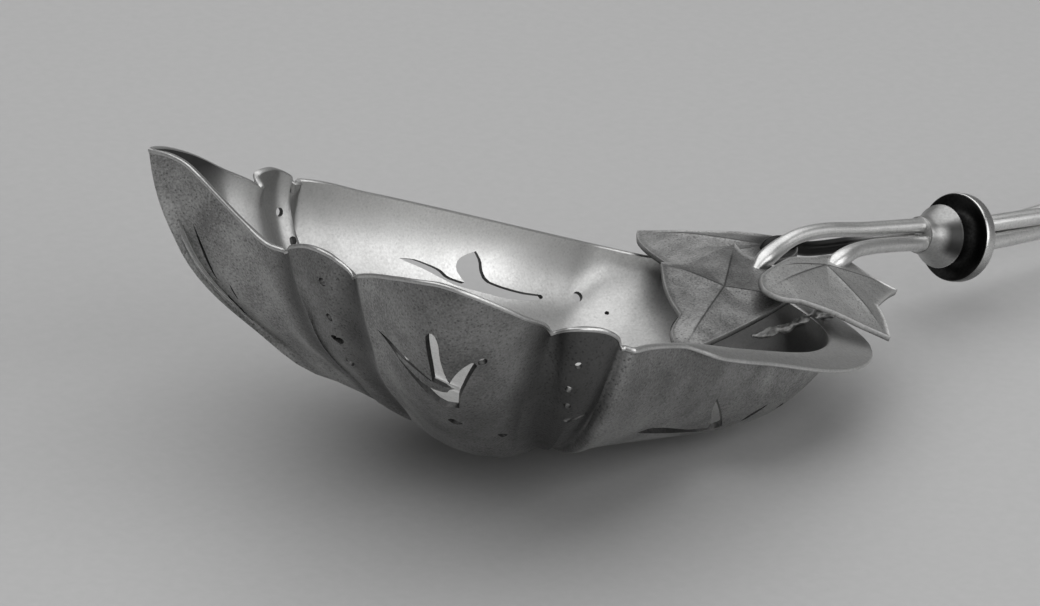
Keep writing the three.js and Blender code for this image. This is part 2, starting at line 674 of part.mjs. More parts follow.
const rimFrame = new THREE.Matrix4();
add(ladle, 'bowl', cut(bowlShell(), [...piercing(), tableSlab(rimFrame)]), silver(0.62, 0.42));
add(ladle, 'leaf_front', leafBlade(frontLeaf), silver(0.55, 0.5));
add(ladle, 'leaf_near', leafBlade(nearLeaf), silver(0.55, 0.5));
add(ladle, 'leaf_far', leafBlade(farLeaf), silver(0.55, 0.5));
add(ladle, 'stem_front', stem(frontLeaf, FRONT_FOOT, 0, FRONT_STEM_ARCH), silver(0.75, 0.25));
add(ladle, 'stem_near', stem(nearLeaf, NEAR_FOOT, 120, SIDE_STEM_ARCH), silver(0.75, 0.25));
add(ladle, 'stem_far', stem(farLeaf, FAR_FOOT, -120, SIDE_STEM_ARCH), silver(0.75, 0.25));
add(ladle, 'solder_front', solderBead(frontLeaf, FRONT_BEAD), silver(0.7, 0.4));
add(ladle, 'solder_near', solderBead(nearLeaf, NEAR_BEAD), silver(0.7, 0.4));
add(ladle, 'solder_far', solderBead(farLeaf, FAR_BEAD), silver(0.7, 0.4));
add(knop, 'bell_ferrule', bellFerrule(), silver(0.75, 0.22));
add(knop, 'ring_collar', ringCollar(), silver(0.75, 0.22));
counted(3).forEach((k) => add(shaft, `shaft_strand_${k + 1}`, strand(120 * k), silver(0.75, 0.25)));
add(shaft, 'end_cap', cut(capGeometry, [tableSlab(shaftMatrix)]), silver(0.75, 0.25));
knop.add(shaft);
ladle.add(knop);

export default ladle;
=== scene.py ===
# A sugar sifter ladle in silver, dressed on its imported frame. Its pieces are drawn in millimetres in the
# frame of the bowl's rim, with x to the handle, y to the far side and z up, and are then laid on the
# table as the ladle lies.
import bmesh
import bpy
from math import cos, exp, hypot, pi, radians, sin, sqrt, tan
from mathutils import Euler, Matrix, Vector, kdtree, noise


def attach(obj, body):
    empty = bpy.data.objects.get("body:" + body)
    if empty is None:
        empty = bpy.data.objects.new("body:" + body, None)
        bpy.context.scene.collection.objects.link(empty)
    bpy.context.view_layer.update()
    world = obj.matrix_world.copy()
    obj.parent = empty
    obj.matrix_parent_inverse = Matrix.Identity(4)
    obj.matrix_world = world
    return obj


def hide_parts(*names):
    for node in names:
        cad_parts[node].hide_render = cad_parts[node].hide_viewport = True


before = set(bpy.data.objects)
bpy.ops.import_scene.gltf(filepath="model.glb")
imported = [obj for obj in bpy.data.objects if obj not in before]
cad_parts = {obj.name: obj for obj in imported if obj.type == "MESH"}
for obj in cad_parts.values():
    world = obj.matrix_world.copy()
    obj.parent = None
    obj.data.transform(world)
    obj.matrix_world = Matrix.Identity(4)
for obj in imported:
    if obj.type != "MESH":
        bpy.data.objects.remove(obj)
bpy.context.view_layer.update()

MILLIMETRE = 0.001
TILT = radians(11.908502)  # lie of the ladle, and the place of its rim's frame over the table
RIM_ORIGIN = (-11.0367, 0, 16.75172)
LADLE = Matrix.Scale(MILLIMETRE, 4) @ Matrix.Translation(RIM_ORIGIN) @ Matrix.Rotation(TILT, 4, "Y")
CURVE_STEPS = 60  # parts of a smooth line between two of its points

# Bowl
HALF_LENGTH = 30
HALF_WIDTH = 22
DEPTH = 15.3
BOTTOM_SHIFT = 1
FULLNESS = 2.3
SHEET = 0.42  # thickness of the silver itself
CREASES = {  # depth, half width, and the way the crease runs back along the rim lower down
    "front": (2.5, 1.9, 0), "petal": (2.1, 1.7, -4), "tongue": (2.2, 1.6, 3)}
FLARE = 2  # lean of the front wall out to its rim
FLARE_DROP = 0.4
FLARE_CURVE = 1.3
FLARE_SHARES = (0.45, 0.95)
BELLY = 1.5  # swell of the front wall low down
BELLY_HEIGHT = 0.3
BELLY_SPAN = 0.12
TUCK = 1  # set of the wall under the lip, in from the rim
TUCK_SHARES = (0.6, 0.82)  # shares of the half length between which it grows, and the drop it takes
TUCK_DROP = 0.3
RIM_BEAD = 0.15
LIP_TURN = 1.3  # width of the lip along the sides, and what it gains round the handle
LIP_GAIN = 2.5
SIDE_SLOPE = radians(22)  # fall of the lip along the sides and round the handle
END_SLOPE = radians(7)
# Where the lip starts and is full, from 0 at the tongues' creases to 1 behind the handle. On the far side it
# starts under the leaf.
NEAR_TURN = (0.19, 0.3)
NEAR_GAIN = (0.45, 0.82)
FAR_GAIN = (0.76, 0.94)
# Rings round the rim: the share of the lip that each lies out, or millimetres in from the rim where below 0,
# what it keeps off the lip's edge, and its depth under the top
UNDER_RINGS = [(0.3, 0.05, SHEET), (0.6, 0.05, SHEET), (1, 0.1, SHEET - 0.02)]
EDGE_RINGS = [(1, 0.02, SHEET - 0.12), (1, 0, SHEET / 2), (1, 0.02, 0.12), (1, 0.1, 0.02)]
TOP_RINGS = [(0.7, 0.05, 0), (0.35, 0.05, 0), (-0.2, 0, 0), (-0.38, 0, 0.03), (-0.5, 0, 0.12)]
# Stations of each lobe's rim after the last one of the lobe before it, in shares of the half length and half
# width and in millimetres up
STATIONS = {
    "front": [(-1.01, 0.12, 0.8), (-1.035, 0, 1.68), (-1.035, -0.12, 1.72), (-0.975, -0.19, 0.38)],
    "petal_near": [
        (-1.056, -0.364, 1.98), (-1.111, -0.59, 3.57), (-1.127, -0.74, 4.46),
        (-1.114, -0.84, 4.94), (-1.076, -0.91, 4.86), (-0.991, -0.955, 4.2), (-0.874, -0.975, 3.14),
        (-0.745, -0.935, 1.75), (-0.663, -0.885, 0.65)],
    "tongue_near": [
        (-0.655, -0.975, 1.75), (-0.609, -1.015, 2.07), (-0.549, -1.035, 1.88),
        (-0.5, -1.03, 1.2), (-0.46, -1.005, 0.2)],
    "back": [
        (-0.35, -1.005, 0.15), (-0.117, -0.936, -0.46), (0.207, -0.841, -2.05),
        (0.633, -0.713, -3.69), (0.812, -0.589, -3.8), (0.904, -0.407, -3.61), (0.946, 0, -3.31),
        (0.892, 0.401, -3.8), (0.789, 0.56, -4.25), (0.684, 0.675, -4.2), (0.576, 0.72, -3.81),
        (0.348, 0.79, -2.89), (0.13, 0.867, -2.04), (-0.089, 0.935, -1.2), (-0.2, 0.965, -0.79),
        (-0.307, 1, -0.31), (-0.37, 1.01, -0.15), (-0.445, 1.015, -0.35)],
    "tongue_far": [
        (-0.455, 1.04, 0), (-0.479, 1.045, 0.46), (-0.542, 1.03, 0.96),
        (-0.6, 1, 0.9), (-0.636, 0.96, 0.44), (-0.648, 0.92, -0.06)],
    "petal_far": [
        (-0.69, 0.955, 0.36), (-0.754, 0.98, 1.02), (-0.846, 0.975, 2.09),
        (-0.954, 0.945, 3.1), (-1.075, 0.905, 3.85), (-1.15, 0.855, 4.02), (-1.115, 0.8, 4.02),
        (-1.086, 0.735, 3.72), (-1.067, 0.66, 3.02), (-1.042, 0.59, 2.07), (-1.008, 0.5, 0.82),
        (-0.982, 0.42, -0.14), (-0.966, 0.33, -0.62), (-0.965, 0.228, -0.59)]}
NOTCHES = {  # creases at the start and the end of each lobe, with the way each one runs
    "front": (("front", -1), ("front", 1)), "petal_near": (("front", 1), ("petal", 1)),
    "tongue_near": (("petal", 1), ("tongue", 1)), "back": (("tongue", 1), ("tongue", -1)),
    "tongue_far": (("tongue", -1), ("petal", -1)), "petal_far": (("petal", -1), ("front", -1))}
RIM_STEPS = {"front": 28, "petal": 60, "tongue": 32, "back": 150}
WALL_STEPS = 26
RIM_FINE = 400  # parts in which the rim of each lobe is kept
RIM_STEP = 0.004  # shares over which the way out of the bowl is taken, at the rim and on the wall
WALL_STEP = 0.008
CREASE_STEPS = 3  # places on each side of a crease that are rounded
RIM_EASE = 2  # rounds of that at the rim, and how many more at the bottom
LOW_EASE = 10
TIP_SHARE = 0.5  # place of the far petal's tip, and the share over which its wall turns under it
TIP_SPAN = 0.12
TIP_REACH = 3 * TIP_SPAN

# Piercing in shares along a lobe and up its wall, with tulips as arcs that meet in corners
PETAL_TULIP = [
    [(0.152, 0.859), (0.284, 0.775), (0.443, 0.679), (0.504, 0.64), (0.557, 0.628), (0.61, 0.632),
     (0.663, 0.64)],
    [(0.663, 0.64), (0.672, 0.698), (0.698, 0.762), (0.725, 0.833)],
    [(0.725, 0.833), (0.707, 0.839), (0.681, 0.82), (0.654, 0.788), (0.619, 0.737)],
    [(0.619, 0.737), (0.566, 0.775), (0.54, 0.814), (0.531, 0.852), (0.513, 0.878)],
    [(0.513, 0.878), (0.49, 0.886), (0.469, 0.878), (0.469, 0.833), (0.478, 0.788), (0.496, 0.724)],
    [(0.496, 0.724), (0.39, 0.769), (0.267, 0.82), (0.152, 0.859)]]
FAR_TULIP = [
    [(0.126, 0.79), (0.142, 0.796), (0.153, 0.788), (0.169, 0.769), (0.18, 0.737), (0.196, 0.724)],
    [(0.196, 0.724), (0.188, 0.775), (0.188, 0.814), (0.193, 0.846), (0.207, 0.884)],
    [(0.207, 0.884), (0.213, 0.845), (0.216, 0.79), (0.223, 0.75), (0.234, 0.737), (0.25, 0.726),
     (0.265, 0.72), (0.282, 0.722)],
    [(0.282, 0.722), (0.285, 0.705), (0.269, 0.682), (0.242, 0.675), (0.219, 0.685), (0.2, 0.694)],
    [(0.2, 0.694), (0.186, 0.702), (0.167, 0.732), (0.151, 0.758), (0.126, 0.787)]]
NEAR_TULIP = [
    [(0.097, 0.595), (0.116, 0.628), (0.15, 0.615), (0.211, 0.572), (0.24, 0.575)],
    [(0.24, 0.575), (0.215, 0.66), (0.196, 0.73), (0.185, 0.814)],
    [(0.185, 0.814), (0.208, 0.743), (0.235, 0.66), (0.262, 0.585)],
    [(0.262, 0.585), (0.262, 0.54), (0.24, 0.52)],
    [(0.24, 0.52), (0.21, 0.535), (0.16, 0.555), (0.12, 0.575), (0.097, 0.595)]]
SLITS = [  # lobe, path, and width in shares of the wall's height
    ("petal_near", [(0.557, 0.55), (0.61, 0.552), (0.663, 0.55)], 0.03),
    ("petal_near", [(0.874, 0.512), (0.905, 0.51), (0.936, 0.518)], 0.03),
    ("petal_far", [(0.597, 0.85), (0.6, 0.79), (0.597, 0.73), (0.59, 0.67)], 0.011),
    ("petal_far", [(0.58, 0.61), (0.575, 0.56), (0.56, 0.51)], 0.011),
    ("petal_far", [(0.663, 0.692), (0.645, 0.66), (0.625, 0.62)], 0.011),
    ("back", [(0.283, 0.62), (0.279, 0.69), (0.283, 0.76)], 0.008)]
DOT = 0.42
DOTS = [  # lobe, places, and radius
    ("petal_near", [(0.742, 0.852)], DOT),
    ("back", [(0.677, 0.743)], 0.5),
    ("back", [(0.642, 0.692)], 0.22),
    ("back", [(0.317, 0.732), (0.352, 0.679)], DOT),
    ("tongue_near", [(0.434, 0.904), (0.381, 0.814), (0.434, 0.743), (0.53, 0.672)], 0.8 * DOT),
    ("tongue_far", [(0.258, 0.884), (0.19, 0.788), (0.3, 0.7), (0.35, 0.6)], DOT),
    ("front", [(0.672, 0.923), (0.654, 0.801), (0.78, 0.718), (0.87, 0.625)], DOT)]
DOT_SIDES = 24
SLIT_END = 0.15  # share of its width that a slit has at its ends
SLIT_STEPS = 10
ARC_STEPS = 12
CUT_OUT = 0.9  # reach of a cutter out of the wall and into it, and of a dot's cutter into it
CUT_IN = 1
DOT_CUT_IN = 1.9

RIM, OUTSIDE, INSIDE = range(3)  # places of the bowl's own finishes in BOWL_FINISHES

# Painted shade on the bowl from 0 to 1, and where it starts and is full: outside in shares of the lobe and
# its height or millimetres from its ends, and inside in metres
LOBE_PAINTED_SHADE = {
    "front": 0.45, "petal_near": 0.45, "tongue_near": 0.55, "back": 0.24, "tongue_far": 0.5, "petal_far": 0}
BACK_GAIN = 0.28  # under the near rim beside the tongue
BACK_HIGH = (0.6, 0.85)
BACK_FRONT = (0.14, 0.3)
PETAL_SHARES = (0.15, 0.45)
PETAL_LOW = 0.15  # low on the near petal
PETAL_HIGH = (0.6, 0.9)
PETAL_END = 0.4  # at the end of the near petal
PETAL_LAST = (-2.8, 0)
PETAL_UP = (0.3, 0.75)
TONGUE_GAIN = 0.37  # between the near tongue's creases
TONGUE_START = (-4, 0)
TONGUE_END = (-0.6, 1)
CREASE_PAINTED_SHADE = 0.85  # along the creases, outside and inside
INNER_CREASE = 0.5
HANDLE_PAINTED_SHADE = 0.88  # painted shade of the leaves over it, past a line that leans to the handle
HANDLE_SPAN = (0.0072, 0.0102)
HANDLE_LEAN = 0.7
HANDLE_FOOT = 0.0025
FRONT_PAINTED_SHADE = 0.5
FRONT_SPAN = (0.01, 0.024)
TIPS_SPAN = (0.027, 0.034)  # more high up at the tips of the petals, and less low down
TIPS_HEIGHTS = (0.018, 0.025)
TIPS_PAINTED_SHADE = 0.8
TIPS_CLEAR = 0.25
FLOOR_PAINTED_SHADE = 0.35
FLOOR_HEIGHTS = (0.003, 0.009)
PAINTED_SHADE_ROW = 4

# Ivy leaves: the vein centre, the outline as arcs that meet in tips and notches, and the tips with veins.
# The main lobe runs along x.
FRONT_LEAF = (
    (0.5, 0.9),
    [[(13, -0.2), (10.3, -1.7), (7.2, -1.7)],
     [(7.2, -1.7), (5, -3.2), (2.4, -4.4), (-1.3, -5.6)],
     [(-1.3, -5.6), (-2.4, -3.4), (-5.5, -2), (-9.6, -0.2)],
     [(-9.6, -0.2), (-7.7, 1.2), (-7.2, 3.4), (-5.5, 5.2), (-1.4, 6.9)],
     [(-1.4, 6.9), (2.4, 5.6), (6.2, 3.9), (9.4, 2.2), (13, -0.2)]],
    [(13, -0.2), (-1.3, -5.6), (-9.6, -0.2), (-1.4, 6.9)])
NEAR_LEAF = (
    (1.6, -0.9),
    [[(12.3, -0.5), (9.4, 0.9), (7.4, 1.6)],
     [(7.4, 1.6), (5.9, 3.8), (3.5, 7.7)],
     [(3.5, 7.7), (2.2, 4.8), (-0.2, 4), (-0.8, 2.1), (-0.3, 0), (0.3, -1.5), (0.8, -4.8), (2.2, -8),
      (4.1, -11.1), (6, -12), (7.2, -10.9), (7.6, -8.7)],
     [(7.6, -8.7), (9.2, -5.6), (10.8, -3.3), (12.3, -0.5)]],
    [(12.3, -0.5), (3.5, 7.7), (6, -12), (2.2, -8)])
FAR_LEAF = (
    (2, 0.5),
    [[(14.4, 0.1), (13.9, 2.1), (12.6, 4.2), (9.8, 7.1)],
     [(9.8, 7.1), (6, 6.2), (2, 3.9), (0, 2.5), (-1, 1), (-0.8, -1), (1.9, -2.2)],
     [(1.9, -2.2), (4.6, -1.9), (9.3, -0.4), (14.4, 0.1)]],
    [(14.4, 0.1), (9.8, 7.1)])
LEAF_THICKNESS = 0.5
LEAF_DROOP = 0.006
LEAF_FOLD = 0.22  # height and half width of the fold along each vein
FOLD_WIDTH = 1.6
EDGE_ROLL = 0.12  # height and width of the roll along the edge of a leaf
ROLL_WIDTH = 0.3
LEAF_SIDES = 320
LEAF_SHARES = [  # rings of a blade, in shares of the way from the vein centre to the outline
    1, 0.985, 0.96, 0.93, 0.89, 0.84, 0.78, 0.71, 0.63, 0.55, 0.46, 0.37, 0.28, 0.19, 0.11, 0.05]
LEAF_BEVEL = 0.14
BEVEL_ANGLE = radians(50)
VEIN_HEIGHT = 0.07
VEIN_WIDTH = 0.3
VEIN_LINE = 0.09  # half width of the painted shade line along a vein
VEIN_FADE = (0.55, 0.95)  # shares of a vein between which it fades
UNDER_STEMS = (2.5, 5)  # distances from the far leaf's root where its painted shade under the stems fades
EDGE_DARK = 0.9  # painted shade on a blade's edge and underside, and the drops under its face where it starts and is full
DARK_DROPS = (0.12, 0.3)
EDGE_WEAR_AND_HIGHLIGHT = {"front": 0.2, "near": 0.5, "far": 0.2}  # bright edge of worn polish and painted highlight, its width and its drops
BRIGHT_EDGE_WIDTH = 0.13
BRIGHT_EDGE_DROPS = (0.08, 0.2)

# Stems, knop and handle
STEM = 1.45
STEMS = {  # bearing in the bell, places from the back of the rim, foot on the leaf, and finish
    "front": (0, [(12.6, 0.38, 5.6), (7.6, 0.55, 5.5), (4, 0.5, 4.95), (1.4, 0.2, 3.95)], (-6.9, 3.1),
              "stem_polish"),
    "near": (120, [(15, -1.6, 4.7), (11.4, -2.05, 4.65), (9, -2.4, 4.4)], (0.3, 2), "stem_polish"),
    "far": (-120, [(13.2, 1.8, 3.6), (8.2, 2.5, 2.95)], (1.2, 0.4), "stem_painted_shade")}
KNOP_REACH = 20.7
KNOP_LIFT = 5.1
KNOP_PITCH = radians(-3)
SHAFT_PITCH = radians(8.63)
BELL_LENGTH = 3.4
HUB_LENGTH = 1.6
COLLAR_THICKNESS = 1.4
STRAND = 1.45
STRAND_TURNS = 0.75
SHAFT_LENGTH = 73
CAP_LENGTH = 7
CAP_RADIUS = 2.7
GAP = 0.3
TUBE_SIDES = 20
TURNED_SIDES = 96
STEM_STEPS = 96
STEM_START = 0.3  # how far the stems start inside the bell
FOOT_RISE = 0.35  # height of a stem's foot over its leaf, and its run into the leaf
RUN_IN = 1.9
RUN_IN_SINK = 0.75
FOOT_SWELL = 0.22  # swell of a stem over its foot, its taper, and the shares of the stem for both
SWELL_SHARES = (0.7, 0.88)
FOOT_TAPER = 0.75
TAPER_SHARES = (0.9, 1)
FAR_STEM_DARK = (12, 18)  # how far from the back of the rim the far stem's painted shade starts to fade and ends
# Sections of turned pieces as radius and place along the axis
BELL_THROAT = [(1.7, 0), (1.8, 0.06), (1.84, 0.25)]
BELL_MOUTH = [(3.08, 3.1), (3.1, 3.2), (3.08, 3.32), (3, 3.39), (2.86, 3.4), (2.5, 3.2), (2.1, 3.1)]
BELL_STEPS = 12
BELL_START = (1.88, 0.5)  # start of the bell's flare, and what it gains
BELL_GAIN = (1.12, 2.5)
BELL_CURVE = 1.4
DARK_PATCH_WAY = (-0.98, 0.2)  # y and z of the way that the bell's dark patch faces
DARK_PATCH_FACING = (0.66, 0.94)
DARK_PATCH_SPAN = (1, 2.2)
COLLAR_HUB = [(1.9, -0.6), (1.92, 0.6)]  # from the front of the hub, and the next two from the front face
COLLAR_HOLLOW = [
    (2, -0.3), (2.2, 0.25), (2.5, 0.55), (2.95, 0.62), (3.45, 0.45), (3.9, 0.12), (4.08, 0.02), (4.18, 0)]
COLLAR_EDGE = [
    (4.27, 0.05), (4.33, 0.16), (4.35, 0.35), (4.35, 0.7), (4.35, 1.05), (4.31, 1.24), (4.21, 1.36)]
COLLAR_REAR = (4, 2.3, 2.1, 1.9)  # radii of the back face
COLLAR_DARK = 0.8  # painted shade on the collar's lower half, which faces down
COLLAR_FACING = (-0.1, 0.75)
AXIS = 0.000001  # radius under which a point lies on the axis
STRAND_KNOTS = 24
STRAND_STEPS = 160
STRAND_TUCK = 0.7  # how far the strands reach back towards the collar, and what they gain in length
STRAND_EXTRA = 1
STRAND_SWELL = 0.13
CAP_NECK = [(1.8, 0), (2.1, 0.03), (2.3, 0.15), (2.6, 0.6)]
DOME_STEPS = 16

SOLDER = {  # places in shares along the back lobe and across the lip, with their rise, then size and seed
    "front": ([(0.485, -0.2, 0.5), (0.487, 0.1, 0.5), (0.489, 0.4, 0.5)], (0.9, 0.6), 0),
    "near": ([(0.44, 0.6, 0.5), (0.437, 0.1, 0.4)], (0.45, 0.5), 7),
    "far": ([(0.565, -0.1, 0.5), (0.568, 0.2, 0.5), (0.572, 0.6, 0.5)], (0.9, 0.6), 14)}
WALL_SOLDER = [(0.462, 0.9), (0.488, 0.8)]  # end of the near run, in shares along the lobe and up the wall
BEAD_STEPS = 40
BEAD_ENDS = 8  # power that blunts the ends of a run
BEAD_TIP = 0.05
BEAD_BODY = 0.85
BEAD_LUMPS = 0.7
LUMP_ALONG = 0.3
LUMP_ROUND = 0.8

# Angles in degrees up to which faces meet smoothly
BOWL_SMOOTH = 34
LEAF_SMOOTH = 50
ROD_SMOOTH = 60
TURNED_SMOOTH = 40
SOLDER_SMOOTH = 180

# Finishes: dark and pale shade, smooth and rough, scales of the patches and the grain, the grain's depth in
# metres, the pits, whether its piece has marks, and the shade of pits and marks where it isn't the usual one
FINISHES = {
    "rim_polish": (0.45, 0.6, 0.32, 0.42, 200, 3500, 0.000005, 0.1),
    # the outside: the bowl's silver, darkened by painted shade
    "outside_frost_painted_shade": (0.24, 0.52, 0.42, 0.56, 240, 4600, 0.00003, 0.5, True),
    "inside_satin": (0.62, 0.78, 0.36, 0.46, 160, 4200, 0.000008, 0.12, True, 0.1),
    # the cut faces of the piercing: painted shade
    "cut_painted_shade": (0.06, 0.12, 0.4, 0.55, 300, 4200, 0.00001, 0.2),
    # the leaves: one cast silver, darkened by a different amount of painted shade on each
    "front_leaf_painted_shade_grain": (0.12, 0.26, 0.42, 0.56, 420, 5200, 0.00003, 0.5, True),
    "near_leaf_painted_shade_grain": (0.3, 0.52, 0.42, 0.56, 420, 5200, 0.00003, 0.5, True),
    "far_leaf_painted_shade_grain": (0.17, 0.31, 0.42, 0.56, 420, 5200, 0.00003, 0.5, True),
    "stem_polish": (0.56, 0.7, 0.32, 0.42, 260, 3600, 0.000005, 0.15),
    # the far stem: its marks are painted shade
    "stem_painted_shade": (0.5, 0.64, 0.32, 0.42, 260, 3600, 0.000005, 0.15, True, 0.04),
    "strand_polish": (0.62, 0.78, 0.3, 0.4, 260, 3600, 0.000005, 0.15),
    "bell_satin": (0.28, 0.38, 0.34, 0.44, 260, 3600, 0.000005, 0.1, True, 0.15),
    "knop_polish": (0.52, 0.66, 0.24, 0.34, 260, 3600, 0.000004, 0.1, True, 0.12),
    "hollow_dark": (0.012, 0.03, 0.4, 0.5, 260, 3600, 0.000005, 0.1),
    "solder_grey": (0.4, 0.7, 0.3, 0.5, 500, 3000, 0.00004, 0.3)}
BOWL_FINISHES = ("rim_polish", "outside_frost_painted_shade", "inside_satin", "cut_painted_shade")
GRAIN_RANGE = {"From Min": 0.75, "From Max": 1.25}  # patches and grain together, from one shade to the other
PIT_RANGE = {"From Min": 0.1, "From Max": 0.35}
MARK_SHADE = 0.3
PIT_SCALE = 0.6
PIT_SHADE = 0.3
BRIGHT_EDGE_SHADE = 0.8
HAMMERING = 3  # height of the soft patches in depths of the grain
WARMTH = 0.99  # blue of a grey
MIX_FIRST = 6  # sockets of a mix of colours
MIX_SECOND = 7
MIX_RESULT = 2


def start_ring(name, points):
    bpy.ops.mesh.primitive_circle_add(vertices=len(points), radius=1)
    piece = bpy.context.object
    piece.name = piece.data.name = name
    bpy.ops.object.mode_set(mode="EDIT")
    bpy.ops.mesh.select_mode(type="VERT")
    bpy.ops.mesh.select_all(action="SELECT")
    place_ring(piece, points)
    return piece


def place_ring(piece, points):
    mesh = bmesh.from_edit_mesh(piece.data)
    ring = [vertex for vertex in mesh.verts if vertex.select]
    for vertex, point in zip(ring, points):
        vertex.co = point
    bmesh.update_edit_mesh(piece.data)


def pull_ring(piece, points):
    bpy.ops.mesh.extrude_edges_move()
    place_ring(piece, points)


def close_ring():
    bpy.ops.mesh.extrude_edges_move()
    bpy.ops.mesh.merge(type="CENTER")


def select_first_ring(piece, count):
    bpy.ops.mesh.select_all(action="DESELECT")
    mesh = bmesh.from_edit_mesh(piece.data)
    mesh.verts.ensure_lookup_table()
    for vertex in mesh.verts[:count]:
        vertex.select = True
    mesh.select_flush(True)
    bmesh.update_edit_mesh(piece.data)


# Turns the faces of the piece being edited outward and ends the edit
def face_outward():
    bpy.ops.mesh.select_all(action="SELECT")
    bpy.ops.mesh.normals_make_consistent(inside=False)
    bpy.ops.object.mode_set(mode="OBJECT")


# A closed piece pulled through rings of equal count
def pulled_piece(name, rings):
    piece = start_ring(name, rings[0])
    for ring in rings[1:]:
        pull_ring(piece, ring)
    close_ring()
    select_first_ring(piece, len(rings[0]))
    close_ring()
    face_outward()
    return piece


def choose(piece):
    bpy.ops.object.select_all(action="DESELECT")
    bpy.context.view_layer.objects.active = piece
    piece.select_set(True)


def apply_modifier(piece, kind, **settings):
    choose(piece)
    modifier = piece.modifiers.new(kind.lower(), kind)
    for key, value in settings.items():
        setattr(modifier, key, value)
    bpy.ops.object.modifier_apply(modifier=modifier.name)


def dress(piece, *finishes):
    for finish in finishes:
        piece.data.materials.append(bpy.data.materials[finish])


def settle(piece, matrix, angle, *nodes, slot):
    choose(piece)
    piece.matrix_world = matrix
    bpy.ops.object.transform_apply(location=True, rotation=True, scale=True)
    bpy.ops.object.shade_smooth_by_angle(angle=radians(angle))
    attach(piece, "root")
    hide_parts(*nodes)


# Flattens a settled piece where it would reach below the table
def rest_on_table(piece):
    for vertex in piece.data.vertices:
        vertex.co.z = max(0, vertex.co.z)


def circle(count):
    return [2 * pi * k / count for k in range(count)]


def nearest(points):
    tree = kdtree.KDTree(len(points))
    for k, point in enumerate(points):
        tree.insert(point, k)
    tree.balance()
    return tree


def smoothstep(value, low, high):
    share = min(1, max(0, (value - low) / (high - low)))
    return share * share * (3 - 2 * share)


# Evenly spaced points on the smooth line through some points
def spline(points, steps):
    points = [Vector(point).to_3d() for point in points]
    line = [2 * points[0] - points[1], *points, 2 * points[-1] - points[-2]]
    fine = []
    for a, b, c, d in zip(line, line[1:], line[2:], line[3:]):
        u, v, w = (sqrt((q - p).length) for p, q in ((a, b), (b, c), (c, d)))
        leave = ((b - a) / u - (c - a) / (u + v) + (c - b) / v) * v
        arrive = ((c - b) / v - (d - b) / (v + w) + (d - c) / w) * v
        for k in range(CURVE_STEPS):
            t = k / CURVE_STEPS
            fine.append(b + leave * t + (3 * (c - b) - 2 * leave - arrive) * t * t
                        + (2 * (b - c) + leave + arrive) * t ** 3)
    fine.append(points[-1])
    reach = [0]
    for a, b in zip(fine, fine[1:]):
        reach.append(reach[-1] + (b - a).length)
    spaced = []
    k = 0
    for step in range(steps + 1):
        goal = reach[-1] * step / steps
        while k < len(fine) - 2 and reach[k + 1] < goal:
            k += 1
        share = (goal - reach[k]) / (reach[k + 1] - reach[k])
        spaced.append(fine[k].lerp(fine[k + 1], min(1, share)))
    return spaced


# How far the wall of a lobe is drawn in by the creases at its ends, at distances along the rim from them
def drawn_in(name, from_start, from_end, height):
    drawn = 0
    for (kind, side), apart in zip(NOTCHES[name], (from_start, from_end)):
        depth, width, sway = CREASES[kind]
        apart += side * sway * (1 - height)
        drawn = max(drawn, depth * exp(-(apart / width) ** 2))
    return drawn


# Stations of a lobe in millimetres, set out by as much as the creases at its ends draw them in
def set_out(name):
    names = list(STATIONS)
    stations = [STATIONS[names[names.index(name) - 1]][-1], *STATIONS[name]]
    points = [Vector((x * HALF_LENGTH, y * HALF_WIDTH, z)) for x, y, z in stations]
    reach = [0]
    for a, b in zip(points, points[1:]):
        reach.append(reach[-1] + (b - a).length)
    out = []
    for point, along in zip(points, reach):
        outward = Vector((point.x - BOTTOM_SHIFT, point.y, 0)).normalized()
        out.append(point + outward * drawn_in(name, along, along - reach[-1], 1))
    return out


LOBES = {name: spline(set_out(name), RIM_FINE) for name in STATIONS}
LENGTHS = {name: sum((b - a).length for a, b in zip(line, line[1:])) for name, line in LOBES.items()}
# Back of the rim of the solids, from which the leaves, the stems and the knop are placed
RIM_BACK = Vector((0.913 * HALF_LENGTH, 0, -3.306))


def crease(name, share, height):
    return drawn_in(name, share * LENGTHS[name], (share - 1) * LENGTHS[name], height)


# Width and fall of the lip at a share along the back lobe
def lip_at(share):
    from_notch = 1 - abs(2 * share - 1)
    near = share < 0.5
    full = smoothstep(from_notch, *(NEAR_GAIN if near else FAR_GAIN))
    turn = smoothstep(from_notch, *NEAR_TURN) if near else full
    return LIP_TURN * turn + LIP_GAIN * full, tan(SIDE_SLOPE + (END_SLOPE - SIDE_SLOPE) * full)


# Point of a lobe's rim at a share along it, drawn in by the creases as they are at a height of the wall
def rim_point(name, share, height):
    at = min(1, max(0, share)) * RIM_FINE
    low = min(RIM_FINE - 1, int(at))
    point = LOBES[name][low].lerp(LOBES[name][low + 1], at - low)
    inward = Vector((BOTTOM_SHIFT - point.x, -point.y, 0)).normalized()
    return point + inward * crease(name, share, height)


# Such a point with the way out of the bowl there. Round the far petal's tip that is taken over a longer
# stretch of the rim.
def rim_at(name, share, height=1):
    span = RIM_STEP
    if name == "petal_far":
        span += TIP_SPAN * exp(-((share - TIP_SHARE) / TIP_SPAN) ** 2)
    way = rim_point(name, share + span, height) - rim_point(name, share - span, height)
    return rim_point(name, share, height), Vector((way.y, -way.x, 0)).normalized()


